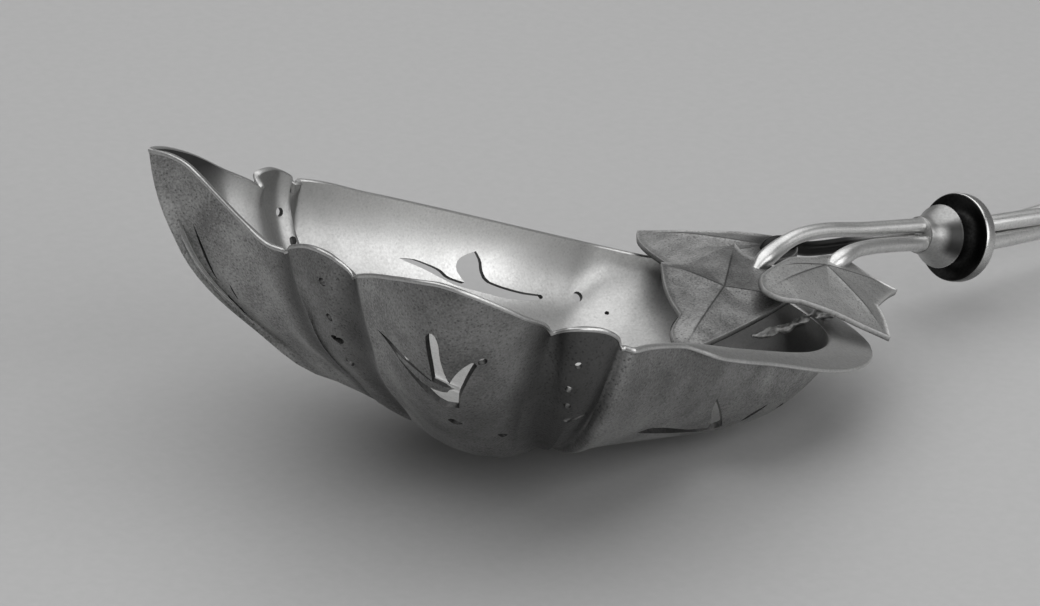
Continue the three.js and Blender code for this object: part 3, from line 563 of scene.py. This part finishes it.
def wall_point(point, out, height, inside):
    edge = point - out * SHEET if inside else point - Vector((0, 0, SHEET))
    depth = DEPTH - SHEET if inside else DEPTH
    angle = height * pi / 2
    reach = sin(angle) ** (2 / FULLNESS)
    sink = max(0, cos(angle)) ** (2 / FULLNESS)
    front = smoothstep(-point.x / HALF_LENGTH, *FLARE_SHARES)
    lean = FLARE * front * (max(0, 1 - sink / FLARE_DROP) ** FLARE_CURVE - reach)
    belly = BELLY * front * exp(-((height - BELLY_HEIGHT) / BELLY_SPAN) ** 2)
    set_in = smoothstep(point.x / HALF_LENGTH, *TUCK_SHARES) * smoothstep(1 - height, 0, TUCK_DROP)
    tuck = TUCK * set_in * reach
    return Vector((
        BOTTOM_SHIFT + (edge.x - BOTTOM_SHIFT) * reach, edge.y * reach,
        edge.z - (edge.z + depth) * sink - belly / 2)) + out * (lean + belly - tuck)


# Places round the rim: lobe, share, width and fall of the lip, and whether a notch lies there
def rim_places():
    places = []
    for name in LOBES:
        steps = RIM_STEPS[name.split("_")[0]]
        for k in range(steps):
            lip, fall = lip_at(k / steps) if name == "back" else (0, 0)
            places.append((name, k / steps, RIM_BEAD + lip, fall, k == 0))
    return places


# Points of the rim as it is at a height of the wall, each with the way out of the bowl
def rim_ring(places, height):
    points = [rim_point(*place[:2], height) for place in places]
    ring = []
    for k, point in enumerate(points):
        name, share = places[k][:2]
        way = points[(k + 1) % len(points)] - points[k - 1]
        out = Vector((way.y, -way.x, 0)).normalized()
        if name == "petal_far" and abs(share - TIP_SHARE) < TIP_REACH:
            out = rim_at(name, share, height)[1]
        ring.append((point, out))
    return ring


# Rounds the creases between the lobes, more so lower down the wall
def eased(ring, notches, passes):
    count = len(ring)
    near = sorted({(n + k) % count for n in notches for k in range(-CREASE_STEPS, CREASE_STEPS + 1)})
    for _ in range(passes):
        ring = list(ring)
        moved = {k: (ring[k - 1] + 2 * ring[k] + ring[(k + 1) % count]) / 4 for k in near}
        for k, point in moved.items():
            ring[k] = point
    return ring


def bowl_rings():
    places = rim_places()
    notches = [k for k, place in enumerate(places) if place[4]]
    heights = [(k + 1) / WALL_STEPS for k in range(WALL_STEPS)]
    rim = [(point, out, place[2], place[3]) for (point, out), place in zip(rim_ring(places, 1), places)]

    def wall_ring(height, inside):
        ring = [wall_point(point, out, height, inside) for point, out in rim_ring(places, height)]
        return eased(ring, notches, RIM_EASE + round(LOW_EASE * (1 - height)))

    def section_ring(outward, bead, down):
        return [point + out * (outward * (lip - bead) if outward > 0 else outward)
                - Vector((0, 0, max(0, outward * (lip - bead)) * fall + down))
                for point, out, lip, fall in rim]

    outside = [wall_ring(height, False) for height in heights]
    under, edge, top = ([section_ring(*row) for row in rows] for rows in (UNDER_RINGS, EDGE_RINGS, TOP_RINGS))
    inside = [wall_ring(height, True) for height in reversed(heights[:-1])]
    return outside, under, edge, top, inside


# Point on the outside of the wall, with the way square out of it
def wall_frame(name, share, height):
    def on(s, t):
        return wall_point(*rim_at(name, s, t), t, False)

    along = on(min(1, share + WALL_STEP), height) - on(max(0, share - WALL_STEP), height)
    up = on(share, height + WALL_STEP) - on(share, height - WALL_STEP)
    return on(share, height), along.cross(up).normalized()


# Tool that cuts one hole through the wall, from a ring outside it to a ring inside it
def cutter(outer, inner):
    piece = start_ring("cutter", outer)
    bpy.ops.mesh.edge_face_add()
    bpy.ops.mesh.extrude_region_move()
    place_ring(piece, inner)
    face_outward()
    return piece


# Cutter with an outline on the wall, square to the wall all round
def outline_cutter(places):
    frames = [wall_frame(*place) for place in places]
    outer = [point + out * CUT_OUT for point, out in frames]
    return cutter(outer, [point - out * CUT_IN for point, out in frames])


def tulip_cutter(name, arcs, backwards):
    places = []
    for arc in arcs:
        line = spline(arc, ARC_STEPS)
        places += [(name, 1 - p.x if backwards else p.x, p.y) for p in line[:-1]]
    return outline_cutter(places)


# Slit along a path, pointed at both ends, with its width across the path in shares of the wall's height
def slit_cutter(name, path, width):
    line = spline(path, SLIT_STEPS)
    sides = [[], []]
    for k, p in enumerate(line):
        way = line[min(k + 1, SLIT_STEPS)] - line[max(k - 1, 0)]
        full = SLIT_END + (1 - SLIT_END) * sin(pi * k / SLIT_STEPS)
        half = width / 2 * full / way.length
        sides[0].append((p.x - way.y * half, p.y + way.x * half))
        sides[1].append((p.x + way.y * half, p.y - way.x * half))
    return outline_cutter([(name, s, t) for s, t in sides[0] + sides[1][::-1]])


def dot_cutter(name, share, height, radius):
    middle, out = wall_frame(name, share, height)
    aside = Vector((0, 0, 1)).cross(out).normalized()
    above = out.cross(aside)
    spokes = [(aside * cos(a) + above * sin(a)) * radius for a in circle(DOT_SIDES)]
    outer = [middle + out * CUT_OUT + spoke for spoke in spokes]
    return cutter(outer, [middle - out * DOT_CUT_IN + spoke for spoke in spokes])


# All cutters of the bowl as one tool, whose finish, painted shade, goes to the edges that it cuts
def piercing():
    cutters = [slit_cutter(*slit) for slit in SLITS]
    cutters += [dot_cutter(name, *place, radius) for name, places, radius in DOTS for place in places]
    tulips = [tulip_cutter("petal_near", PETAL_TULIP, False), tulip_cutter("back", FAR_TULIP, True),
              tulip_cutter("back", NEAR_TULIP, False)]
    bpy.ops.object.select_all(action="DESELECT")
    for piece in tulips + cutters:
        piece.select_set(True)
        dress(piece, "cut_painted_shade")
    bpy.context.view_layer.objects.active = cutters[0]
    bpy.ops.object.join()
    return bpy.context.object


def bowl():
    outside, under, edge, top, inside = bowl_rings()
    piece = pulled_piece("ladle_bowl", outside + under + edge + top + inside)
    dress(piece, *BOWL_FINISHES)
    count = len(rim_places())
    first_edge = len(outside + under) - 1
    first_inside = len(outside + under + edge + top) - 1
    last_row = first_inside + len(inside)
    for face in piece.data.polygons:
        row = face.index // count
        if row < first_edge or row > last_row:
            face.material_index = OUTSIDE
        elif row < first_inside:
            face.material_index = RIM
        else:
            face.material_index = INSIDE
    tool = piercing()
    apply_modifier(piece, "BOOLEAN", operation="DIFFERENCE", solver="MANIFOLD", object=tool)
    bpy.data.objects.remove(tool)
    settle(piece, LADLE, BOWL_SMOOTH, "bowl", slot="bowl_silver")
    rest_on_table(piece)
    paint_bowl_shade(piece)


# Marks of a piece: darkened places in red, most of them painted shade, and bright edges in green, worn polish
# with a painted highlight
def mark(piece, dark, bright=lambda point: 0):
    marks = piece.data.color_attributes.new("marks", "FLOAT_COLOR", "POINT")
    for vertex, spot in zip(piece.data.vertices, marks.data):
        spot.color = (dark(vertex.co), bright(vertex.co), 0, 1)


# Painted shade on the outside over each lobe
def lobe_painted_shade(name, share, height):
    level = LOBE_PAINTED_SHADE[name]
    from_start = share * LENGTHS[name]
    from_end = (share - 1) * LENGTHS[name]
    if name == "back":
        high = smoothstep(height, *BACK_HIGH)
        return level + BACK_GAIN * high * (1 - smoothstep(share, *BACK_FRONT))
    if name == "petal_near":
        low = PETAL_LOW * (1 - smoothstep(height, *PETAL_HIGH))
        by_tongue = smoothstep(from_end, *PETAL_LAST) * smoothstep(height, *PETAL_UP)
        return level * smoothstep(share, *PETAL_SHARES) + low + PETAL_END * by_tongue
    if name == "tongue_near":
        start = from_start + CREASES["petal"][2] * (1 - height)
        end = -from_end - CREASES["tongue"][2] * (1 - height)
        return level + TONGUE_GAIN * smoothstep(start, *TONGUE_START) * smoothstep(end, *TONGUE_END)
    return level


# Painted shade on the bowl: outside over the lobes and along the creases, and inside along the creases, at
# the handle's end, at the front and on the floor
def paint_bowl_shade(piece):
    places = rim_places()
    spots = []
    for inside in (False, True):
        for step in range(PAINTED_SHADE_ROW, WALL_STEPS + 1):
            height = step / WALL_STEPS
            for (point, out), place in zip(rim_ring(places, height), places):
                name, share = place[:2]
                deep = crease(name, share, height) / CREASES["front"][0]
                if inside:
                    deep *= INNER_CREASE
                else:
                    deep = max(CREASE_PAINTED_SHADE * deep, lobe_painted_shade(name, share, height))
                spots.append((LADLE @ wall_point(point, out, height, inside), inside, deep))
    near = nearest([spot[0] for spot in spots])

    def dark(point):
        inside, deep = spots[near.find(point)[1]][1:]
        if not inside:
            return deep
        past_line = point.x - HANDLE_LEAN * (point.z - HANDLE_FOOT)
        handle_end = HANDLE_PAINTED_SHADE * smoothstep(past_line, *HANDLE_SPAN)
        front = FRONT_PAINTED_SHADE * smoothstep(-point.x, *FRONT_SPAN)
        tips = TIPS_PAINTED_SHADE * smoothstep(point.z, *TIPS_HEIGHTS) - TIPS_CLEAR
        front += smoothstep(-point.x, *TIPS_SPAN) * tips
        floor = FLOOR_PAINTED_SHADE * (1 - smoothstep(point.z, *FLOOR_HEIGHTS))
        return max(deep, handle_end, front, floor)

    mark(piece, dark)


def leaf_place(at, heading, pitch, roll):
    turn = Euler((radians(roll), radians(pitch), radians(heading)), "XYZ")
    return Matrix.Translation(at) @ turn.to_matrix().to_4x4()


LEAVES = {  # each with its place from the back of the rim, and its heading, pitch and roll in degrees
    "front": (FRONT_LEAF, leaf_place(RIM_BACK + Vector((-8.2, -1.7, 1.2)), -145, 14, 0)),
    "near": (NEAR_LEAF, leaf_place(RIM_BACK + Vector((5, -2.3, 3.7)), -95, 13, -6)),
    "far": (FAR_LEAF, leaf_place(RIM_BACK + Vector((5, 2.3, 3)), 126, 4, -12))}


def leaf_outline(shape):
    arcs = [[Vector((x, y, 0)) for x, y in arc] for arc in shape[1]]
    lengths = [sum((b - a).length for a, b in zip(arc, arc[1:])) for arc in arcs]
    outline = []
    for arc, length in zip(arcs, lengths):
        outline += spline(arc, round(LEAF_SIDES * length / sum(lengths)))[:-1]
    return outline


# Nearness to a vein of the leaf, from 0 to 1, for a vein of some half width
def vein(shape, point, width):
    middle = Vector((*shape[0], 0))
    near = 0
    for tip in shape[2]:
        way = Vector((*tip, 0)) - middle
        along = (point - middle).dot(way.normalized()) / way.length
        across = (point - middle - way * max(0, along)).length
        near = max(near, (1 - smoothstep(along, *VEIN_FADE)) * exp(-(across / width) ** 2))
    return near


# Place on a leaf's blade, above its upper face by a height
def blade_point(name, x, y, above):
    return LEAVES[name][1] @ Vector((x, y, above - LEAF_DROOP * (x * x + y * y)))


def leaf(name):
    shape, place = LEAVES[name]
    middle = Vector((*shape[0], 0))
    outline = leaf_outline(shape)

    def above(point, share):
        inward = (1 - share) * (point - middle).length / max(share, LEAF_SHARES[-1])
        return (VEIN_HEIGHT * vein(shape, point, VEIN_WIDTH) + LEAF_FOLD * vein(shape, point, FOLD_WIDTH)
                + EDGE_ROLL * exp(-(inward / ROLL_WIDTH) ** 2))

    def ring(share):
        points = [middle.lerp(point, share) for point in outline]
        return [blade_point(name, p.x, p.y, above(p, share)) for p in points]

    piece = start_ring("leaf_blade_" + name, ring(LEAF_SHARES[0]))
    for share in LEAF_SHARES[1:]:
        pull_ring(piece, ring(share))
    close_ring()
    face_outward()
    if piece.data.polygons[0].normal.z < 0:
        bpy.ops.object.mode_set(mode="EDIT")
        bpy.ops.mesh.flip_normals()
        bpy.ops.object.mode_set(mode="OBJECT")
    apply_modifier(piece, "SOLIDIFY", thickness=LEAF_THICKNESS, offset=-1)
    apply_modifier(piece, "BEVEL", width=LEAF_BEVEL, segments=3, limit_method="ANGLE",
                   angle_limit=BEVEL_ANGLE)
    back = place.inverted()
    edge = nearest(outline)

    def flat(point):
        on_leaf = back @ point
        return Vector((on_leaf.x, on_leaf.y, 0))

    def below(point):
        return EDGE_ROLL - LEAF_DROOP * flat(point).length_squared - (back @ point).z

    # Painted shade under the far leaf's stems, on the blade's edge and underside, and along the veins
    def dark(point):
        under_stems = 1 - smoothstep(flat(point).length, *UNDER_STEMS) if name == "far" else 0
        underside = EDGE_DARK * smoothstep(below(point), *DARK_DROPS)
        return max(under_stems, underside, vein(shape, flat(point), VEIN_LINE))

    # Bright edge of the blade: worn polish with a painted highlight, fading down its side
    def bright(point):
        bright_edge = EDGE_WEAR_AND_HIGHLIGHT[name] * exp(-(edge.find(flat(point))[2] / BRIGHT_EDGE_WIDTH) ** 2)
        return bright_edge * (1 - smoothstep(below(point), *BRIGHT_EDGE_DROPS))

    mark(piece, dark, bright)
    dress(piece, name + "_leaf_painted_shade_grain")
    settle(piece, LADLE, LEAF_SMOOTH, "leaf_" + name, slot="leaf_silver")


# Round rod through some points, with its radius at each share of the way
def rod(name, points, radius, steps):
    line = spline(points, steps)
    rings = []
    across = Vector((0, 1, 0))
    for k, point in enumerate(line):
        way = (line[min(k + 1, steps)] - line[max(k - 1, 0)]).normalized()
        across = (across - way * across.dot(way)).normalized()
        other = way.cross(across)
        spokes = [across * cos(a) + other * sin(a) for a in circle(TUBE_SIDES)]
        rings.append([point + spoke * radius(k / steps) for spoke in spokes])
    return pulled_piece(name, rings)


KNOP_AT = RIM_BACK + Vector((KNOP_REACH, 0, KNOP_LIFT))
KNOP = Matrix.Translation(KNOP_AT) @ Matrix.Rotation(-KNOP_PITCH, 4, "Y")
COLLAR_AT = BELL_LENGTH + GAP
COLLAR_BACK = COLLAR_AT + HUB_LENGTH + COLLAR_THICKNESS
SHAFT = (KNOP @ Matrix.Translation((COLLAR_BACK, 0, 0))
         @ Matrix.Rotation(-(SHAFT_PITCH - KNOP_PITCH), 4, "Y"))
SHAFT_AT = GAP + STRAND * 1.5 * sin(SHAFT_PITCH - KNOP_PITCH)
CAP_AT = SHAFT_AT + SHAFT_LENGTH + GAP


# Place of one of three rods that lie round an axis with gaps between them
def packed(diameter, bearing, along):
    apart = (diameter + GAP) / sqrt(3)
    turn = radians(bearing)
    return Vector((along, -apart * sin(turn), apart * cos(turn)))


# Stem from the ferrule through places given from the back of the rim, down into its leaf and out of sight.
# The far one has painted shade over its leaf.
def stem(name, bearing, places, foot, finish):
    start = KNOP @ packed(STEM, bearing, STEM_START)
    way = [RIM_BACK + Vector(place) for place in places]
    last = LEAVES[name][1].inverted() @ way[-1]
    end = Vector(foot) + (Vector(foot) - last.to_2d()).normalized() * RUN_IN
    points = [start, *way, blade_point(name, *foot, FOOT_RISE), blade_point(name, *end, -RUN_IN_SINK)]

    def radius(share):
        swell = FOOT_SWELL * smoothstep(share, *SWELL_SHARES)
        return STEM / 2 * (1 + swell - FOOT_TAPER * smoothstep(share, *TAPER_SHARES))

    piece = rod("leaf_stem_" + name, points, radius, STEM_STEPS)
    # Painted shade on the far stem, full over its leaf and fading towards the handle
    if name == "far":
        mark(piece, lambda p: 1 - smoothstep(p.x - RIM_BACK.x, *FAR_STEM_DARK))
    dress(piece, finish)
    settle(piece, LADLE, ROD_SMOOTH, "stem_" + name, slot="stem_silver")


# Turned piece: pulled along x through its radius at each place
def turned(name, profile):
    return pulled_piece(name, [
        [Vector((along, radius * cos(a), radius * sin(a))) for a in circle(TURNED_SIDES)]
        for radius, along in profile])


# How far a point of a turned piece faces a way across the axis, from -1 to 1
def facing(point, y, z):
    return (y * point.y + z * point.z) / max(AXIS, hypot(point.y, point.z))


# Gives a turned piece its two finishes, the first up to a row of faces, and settles it on the knop
def finish_knop(piece, first, second, rows, node_name):
    dress(piece, first, second)
    for face in piece.data.polygons:
        face.material_index = 1 if face.index // TURNED_SIDES >= rows else 0
    settle(piece, LADLE @ KNOP, TURNED_SMOOTH, node_name, slot="knop_silver")


# Bell in satin with a polished mouth, and a dark patch on its near side
def bell():
    shares = [k / BELL_STEPS for k in range(BELL_STEPS + 1)]
    flare = [(BELL_START[0] + BELL_GAIN[0] * share ** BELL_CURVE, BELL_START[1] + BELL_GAIN[1] * share)
             for share in shares]
    throat = [*BELL_THROAT, *flare]
    piece = turned("bell_mouth", [*throat, *BELL_MOUTH])

    def dark_patch(point):
        return smoothstep(point.x, *DARK_PATCH_SPAN) * smoothstep(facing(point, *DARK_PATCH_WAY), *DARK_PATCH_FACING)

    mark(piece, dark_patch)
    finish_knop(piece, "bell_satin", "knop_polish", len(throat), "bell_ferrule")


# Ring collar with a hollow front face, dark down to its hub, and a polished edge with painted shade on its
# lower half
def collar():
    face = COLLAR_AT + HUB_LENGTH
    hollow = [(radius, COLLAR_AT + along) for radius, along in COLLAR_HUB]
    hollow += [(radius, face + along) for radius, along in COLLAR_HOLLOW]
    edge = [(radius, face + along) for radius, along in COLLAR_EDGE]
    rear = [(radius, COLLAR_BACK) for radius in COLLAR_REAR]
    piece = turned("knop_collar", [*hollow, *edge, *rear])
    # Painted shade on the lower half, which faces down
    mark(piece, lambda p: COLLAR_DARK * smoothstep(facing(p, 0, -1), *COLLAR_FACING))
    finish_knop(piece, "hollow_dark", "knop_polish", len(hollow), "ring_collar")


def strands():
    points = []
    for k in range(STRAND_KNOTS + 1):
        along = SHAFT_AT - STRAND_TUCK + (SHAFT_LENGTH + STRAND_EXTRA) * k / STRAND_KNOTS
        points.append(packed(STRAND, 360 * STRAND_TURNS * k / STRAND_KNOTS, along))
    first = rod("handle_strand_1", points, lambda share: STRAND / 2 + STRAND_SWELL, STRAND_STEPS)
    dress(first, "strand_polish")
    copies = [first]
    for k in (2, 3):
        choose(first)
        bpy.ops.object.duplicate()
        copy = bpy.context.object
        copy.name = copy.data.name = f"handle_strand_{k}"
        copies.append(copy)
    for k, piece in enumerate(copies):
        settle(piece, LADLE @ SHAFT @ Matrix.Rotation(radians(120 * k), 4, "X"), ROD_SMOOTH,
               f"shaft_strand_{k + 1}", slot="stem_silver")


def cap():
    dome = [(CAP_RADIUS * cos(a), CAP_AT + CAP_LENGTH - CAP_RADIUS + CAP_RADIUS * sin(a))
            for a in (pi / 2 * k / DOME_STEPS for k in range(DOME_STEPS))]
    neck = [(radius, CAP_AT + along) for radius, along in CAP_NECK]
    piece = turned("handle_cap", [*neck, *dome])
    dress(piece, "knop_polish")
    settle(piece, LADLE @ SHAFT, TURNED_SMOOTH, "end_cap", slot="stem_silver")
    rest_on_table(piece)


# Place over the top of the lip, by shares along the back lobe and across the lip
def lip_top(share, across, rise):
    point, out = rim_at("back", share)
    width, fall = lip_at(share)
    return point + out * width * across - Vector((0, 0, width * across * fall)) + Vector((0, 0, rise))


# Solder: a lumpy run along a path between the lip and the leaf over it
def bead(name, places, size, seed):
    path = [lip_top(*place) for place in places]
    if name == "near":
        path += [wall_point(*rim_at("back", share, height), height, True) for share, height in WALL_SOLDER]
    line = spline(path, BEAD_STEPS)
    bpy.ops.mesh.primitive_ico_sphere_add(subdivisions=5, radius=1)
    piece = bpy.context.object
    piece.name = piece.data.name = "solder_bead_" + name
    bpy.ops.object.mode_set(mode="EDIT")
    mesh = bmesh.from_edit_mesh(piece.data)
    for vertex in mesh.verts:
        unit = vertex.co.copy()
        at = (unit.x + 1) * BEAD_STEPS / 2
        low = min(BEAD_STEPS - 1, int(at))
        way = (line[low + 1] - line[low]).normalized()
        aside = Vector((-way.y, way.x, 0)).normalized()
        over = way.cross(aside)
        blunt = (1 - unit.x ** BEAD_ENDS) ** 0.5 / max(BEAD_TIP, (1 - unit.x ** 2) ** 0.5)
        spot = Vector((at * LUMP_ALONG + seed, unit.y * LUMP_ROUND, unit.z * LUMP_ROUND))
        lump = blunt * (BEAD_BODY + BEAD_LUMPS * noise.noise(spot))
        vertex.co = (line[low].lerp(line[low + 1], at - low)
                     + (aside * unit.y * size[0] + over * unit.z * size[1]) * lump)
    bmesh.update_edit_mesh(piece.data)
    bpy.ops.object.mode_set(mode="OBJECT")
    dress(piece, "solder_grey")
    settle(piece, LADLE, SOLDER_SMOOTH, "solder_" + name, slot="solder")


def node(tree, kind, inputs=None, **settings):
    made = tree.nodes.new("ShaderNode" + kind)
    for key, value in settings.items():
        setattr(made, key, value)
    for key, value in (inputs or {}).items():
        if isinstance(value, bpy.types.NodeSocket):
            tree.links.new(value, made.inputs[key])
        else:
            made.inputs[key].default_value = value
    return made


# Mix of two shades, each one a colour or the output of a node
def mix(tree, factor, first, second):
    inputs = {"Factor": factor, MIX_FIRST: first, MIX_SECOND: second}
    return node(tree, "Mix", inputs, data_type="RGBA").outputs[MIX_RESULT]


def grey(value):
    return (value, value, value * WARMTH, 1)


# Silver: two shades in soft patches, two roughnesses, and a grain raised by its depth in metres. Pits are
# darker, and so are its dark marks, mostly painted shade. Its bright marks, worn edges with a painted
# highlight, are paler.
def silver(name, dark, pale, smooth, rough, patch, grain, depth, pits, marked=False, deep=MARK_SHADE):
    material = bpy.data.materials.new(name)
    material.use_nodes = True
    tree = material.node_tree
    shader = tree.nodes["Principled BSDF"]
    shader.inputs["Metallic"].default_value = 1
    place = node(tree, "TexCoord").outputs["Object"]
    patch_noise = {"Vector": place, "Scale": patch, "Detail": 4}
    patches = node(tree, "TexNoise", patch_noise).outputs["Fac"]
    fine_noise = {"Vector": place, "Scale": grain, "Detail": 3, "Roughness": 0.6}
    fine = node(tree, "TexNoise", fine_noise).outputs["Fac"]
    both = node(tree, "Math", {0: patches, 1: fine}, operation="ADD").outputs[0]
    ramp = node(tree, "MapRange", {"Value": both, **GRAIN_RANGE}).outputs[0]
    shade = mix(tree, ramp, grey(dark), grey(pale))
    cells = node(tree, "TexVoronoi", {"Vector": place, "Scale": grain * PIT_SCALE})
    hole = node(tree, "MapRange", {
        "Value": cells.outputs["Distance"], **PIT_RANGE, "To Min": pits, "To Max": 0}).outputs[0]
    # Dark marks, mostly painted shade
    if marked:
        marks = node(tree, "Attribute", attribute_name="marks").outputs["Color"]
        split = node(tree, "SeparateColor", {"Color": marks}).outputs
        shade = mix(tree, split["Red"], shade, grey(dark * deep))
    shade = mix(tree, hole, shade, grey(dark * deep * PIT_SHADE))
    # Bright marks: worn edges with a painted highlight
    if marked:
        shade = mix(tree, split["Green"], shade, grey(BRIGHT_EDGE_SHADE))
    tree.links.new(shade, shader.inputs["Base Color"])
    gloss = node(tree, "MapRange", {
        "Value": both, **GRAIN_RANGE, "To Min": rough, "To Max": smooth}).outputs[0]
    tree.links.new(gloss, shader.inputs["Roughness"])
    pitted = node(tree, "Math", {0: fine, 1: hole}, operation="SUBTRACT").outputs[0]
    height = node(tree, "Math", {0: patches, 1: HAMMERING, 2: pitted}, operation="MULTIPLY_ADD")
    bump = node(tree, "Bump", {"Height": height.outputs[0], "Strength": 1, "Distance": depth})
    tree.links.new(bump.outputs["Normal"], shader.inputs["Normal"])


def camera():
    right = Vector((0.74417, -0.6637, 0.07561))
    up = Vector((0.21251, 0.34254, 0.91515))
    back = Vector((-0.63328, -0.66496, 0.39595))
    data = bpy.data.cameras.new("view")
    data.lens = 172.904
    data.sensor_width = 36
    data.clip_start = 0.01
    made = bpy.data.objects.new("view", data)
    bpy.context.scene.collection.objects.link(made)
    turn = Matrix((right, up, back)).transposed().to_4x4()
    made.matrix_world = Matrix.Translation((-0.299594, -0.297966, 0.190935)) @ turn
    bpy.context.scene.camera = made


def lamp(name, place, aim, size, power):
    data = bpy.data.lights.new(name, "AREA")
    data.shape = "RECTANGLE"
    data.size, data.size_y = size
    data.energy = power
    made = bpy.data.objects.new(name, data)
    made.location = place
    made.rotation_euler = (Vector(aim) - Vector(place)).to_track_quat("-Z", "Y").to_euler()
    bpy.context.scene.collection.objects.link(made)


def stage():
    bpy.ops.mesh.primitive_plane_add(size=6, location=(0, 0, -0.0005))
    floor = bpy.context.object
    floor.name = "table"
    cloth = bpy.data.materials.new("table_grey")
    cloth.use_nodes = True
    tree = cloth.node_tree
    shader = tree.nodes["Principled BSDF"]
    place = node(tree, "TexCoord").outputs["Object"]
    grain = node(tree, "TexNoise", {"Vector": place, "Scale": 900, "Detail": 2})
    shade = mix(tree, grain.outputs["Fac"], (0.38, 0.38, 0.38, 1), (0.42, 0.42, 0.42, 1))
    tree.links.new(shade, shader.inputs["Base Color"])
    shader.inputs["Roughness"].default_value = 0.6
    dress(floor, "table_grey")
    world = bpy.data.worlds.new("studio")
    world.use_nodes = True
    background = world.node_tree.nodes["Background"]
    background.inputs["Color"].default_value = (1, 1, 1, 1)
    background.inputs["Strength"].default_value = 0.15
    bpy.context.scene.world = world
    lamp("overhead", (-0.05, 0.25, 0.85), (0, 0, 0), (1.9, 1.5), 12.2)
    lamp("right_front", (0.08, -0.45, 0.25), (0, 0.012, 0.008), (0.72, 0.4), 1.75)
    bpy.context.scene.view_settings.view_transform = "Standard"


camera()
for name, finish in FINISHES.items():
    silver(name, *finish)
bowl()
for name in LEAVES:
    leaf(name)
for name in STEMS:
    stem(name, *STEMS[name])
bell()
collar()
strands()
cap()
for name in SOLDER:
    bead(name, *SOLDER[name])
stage()
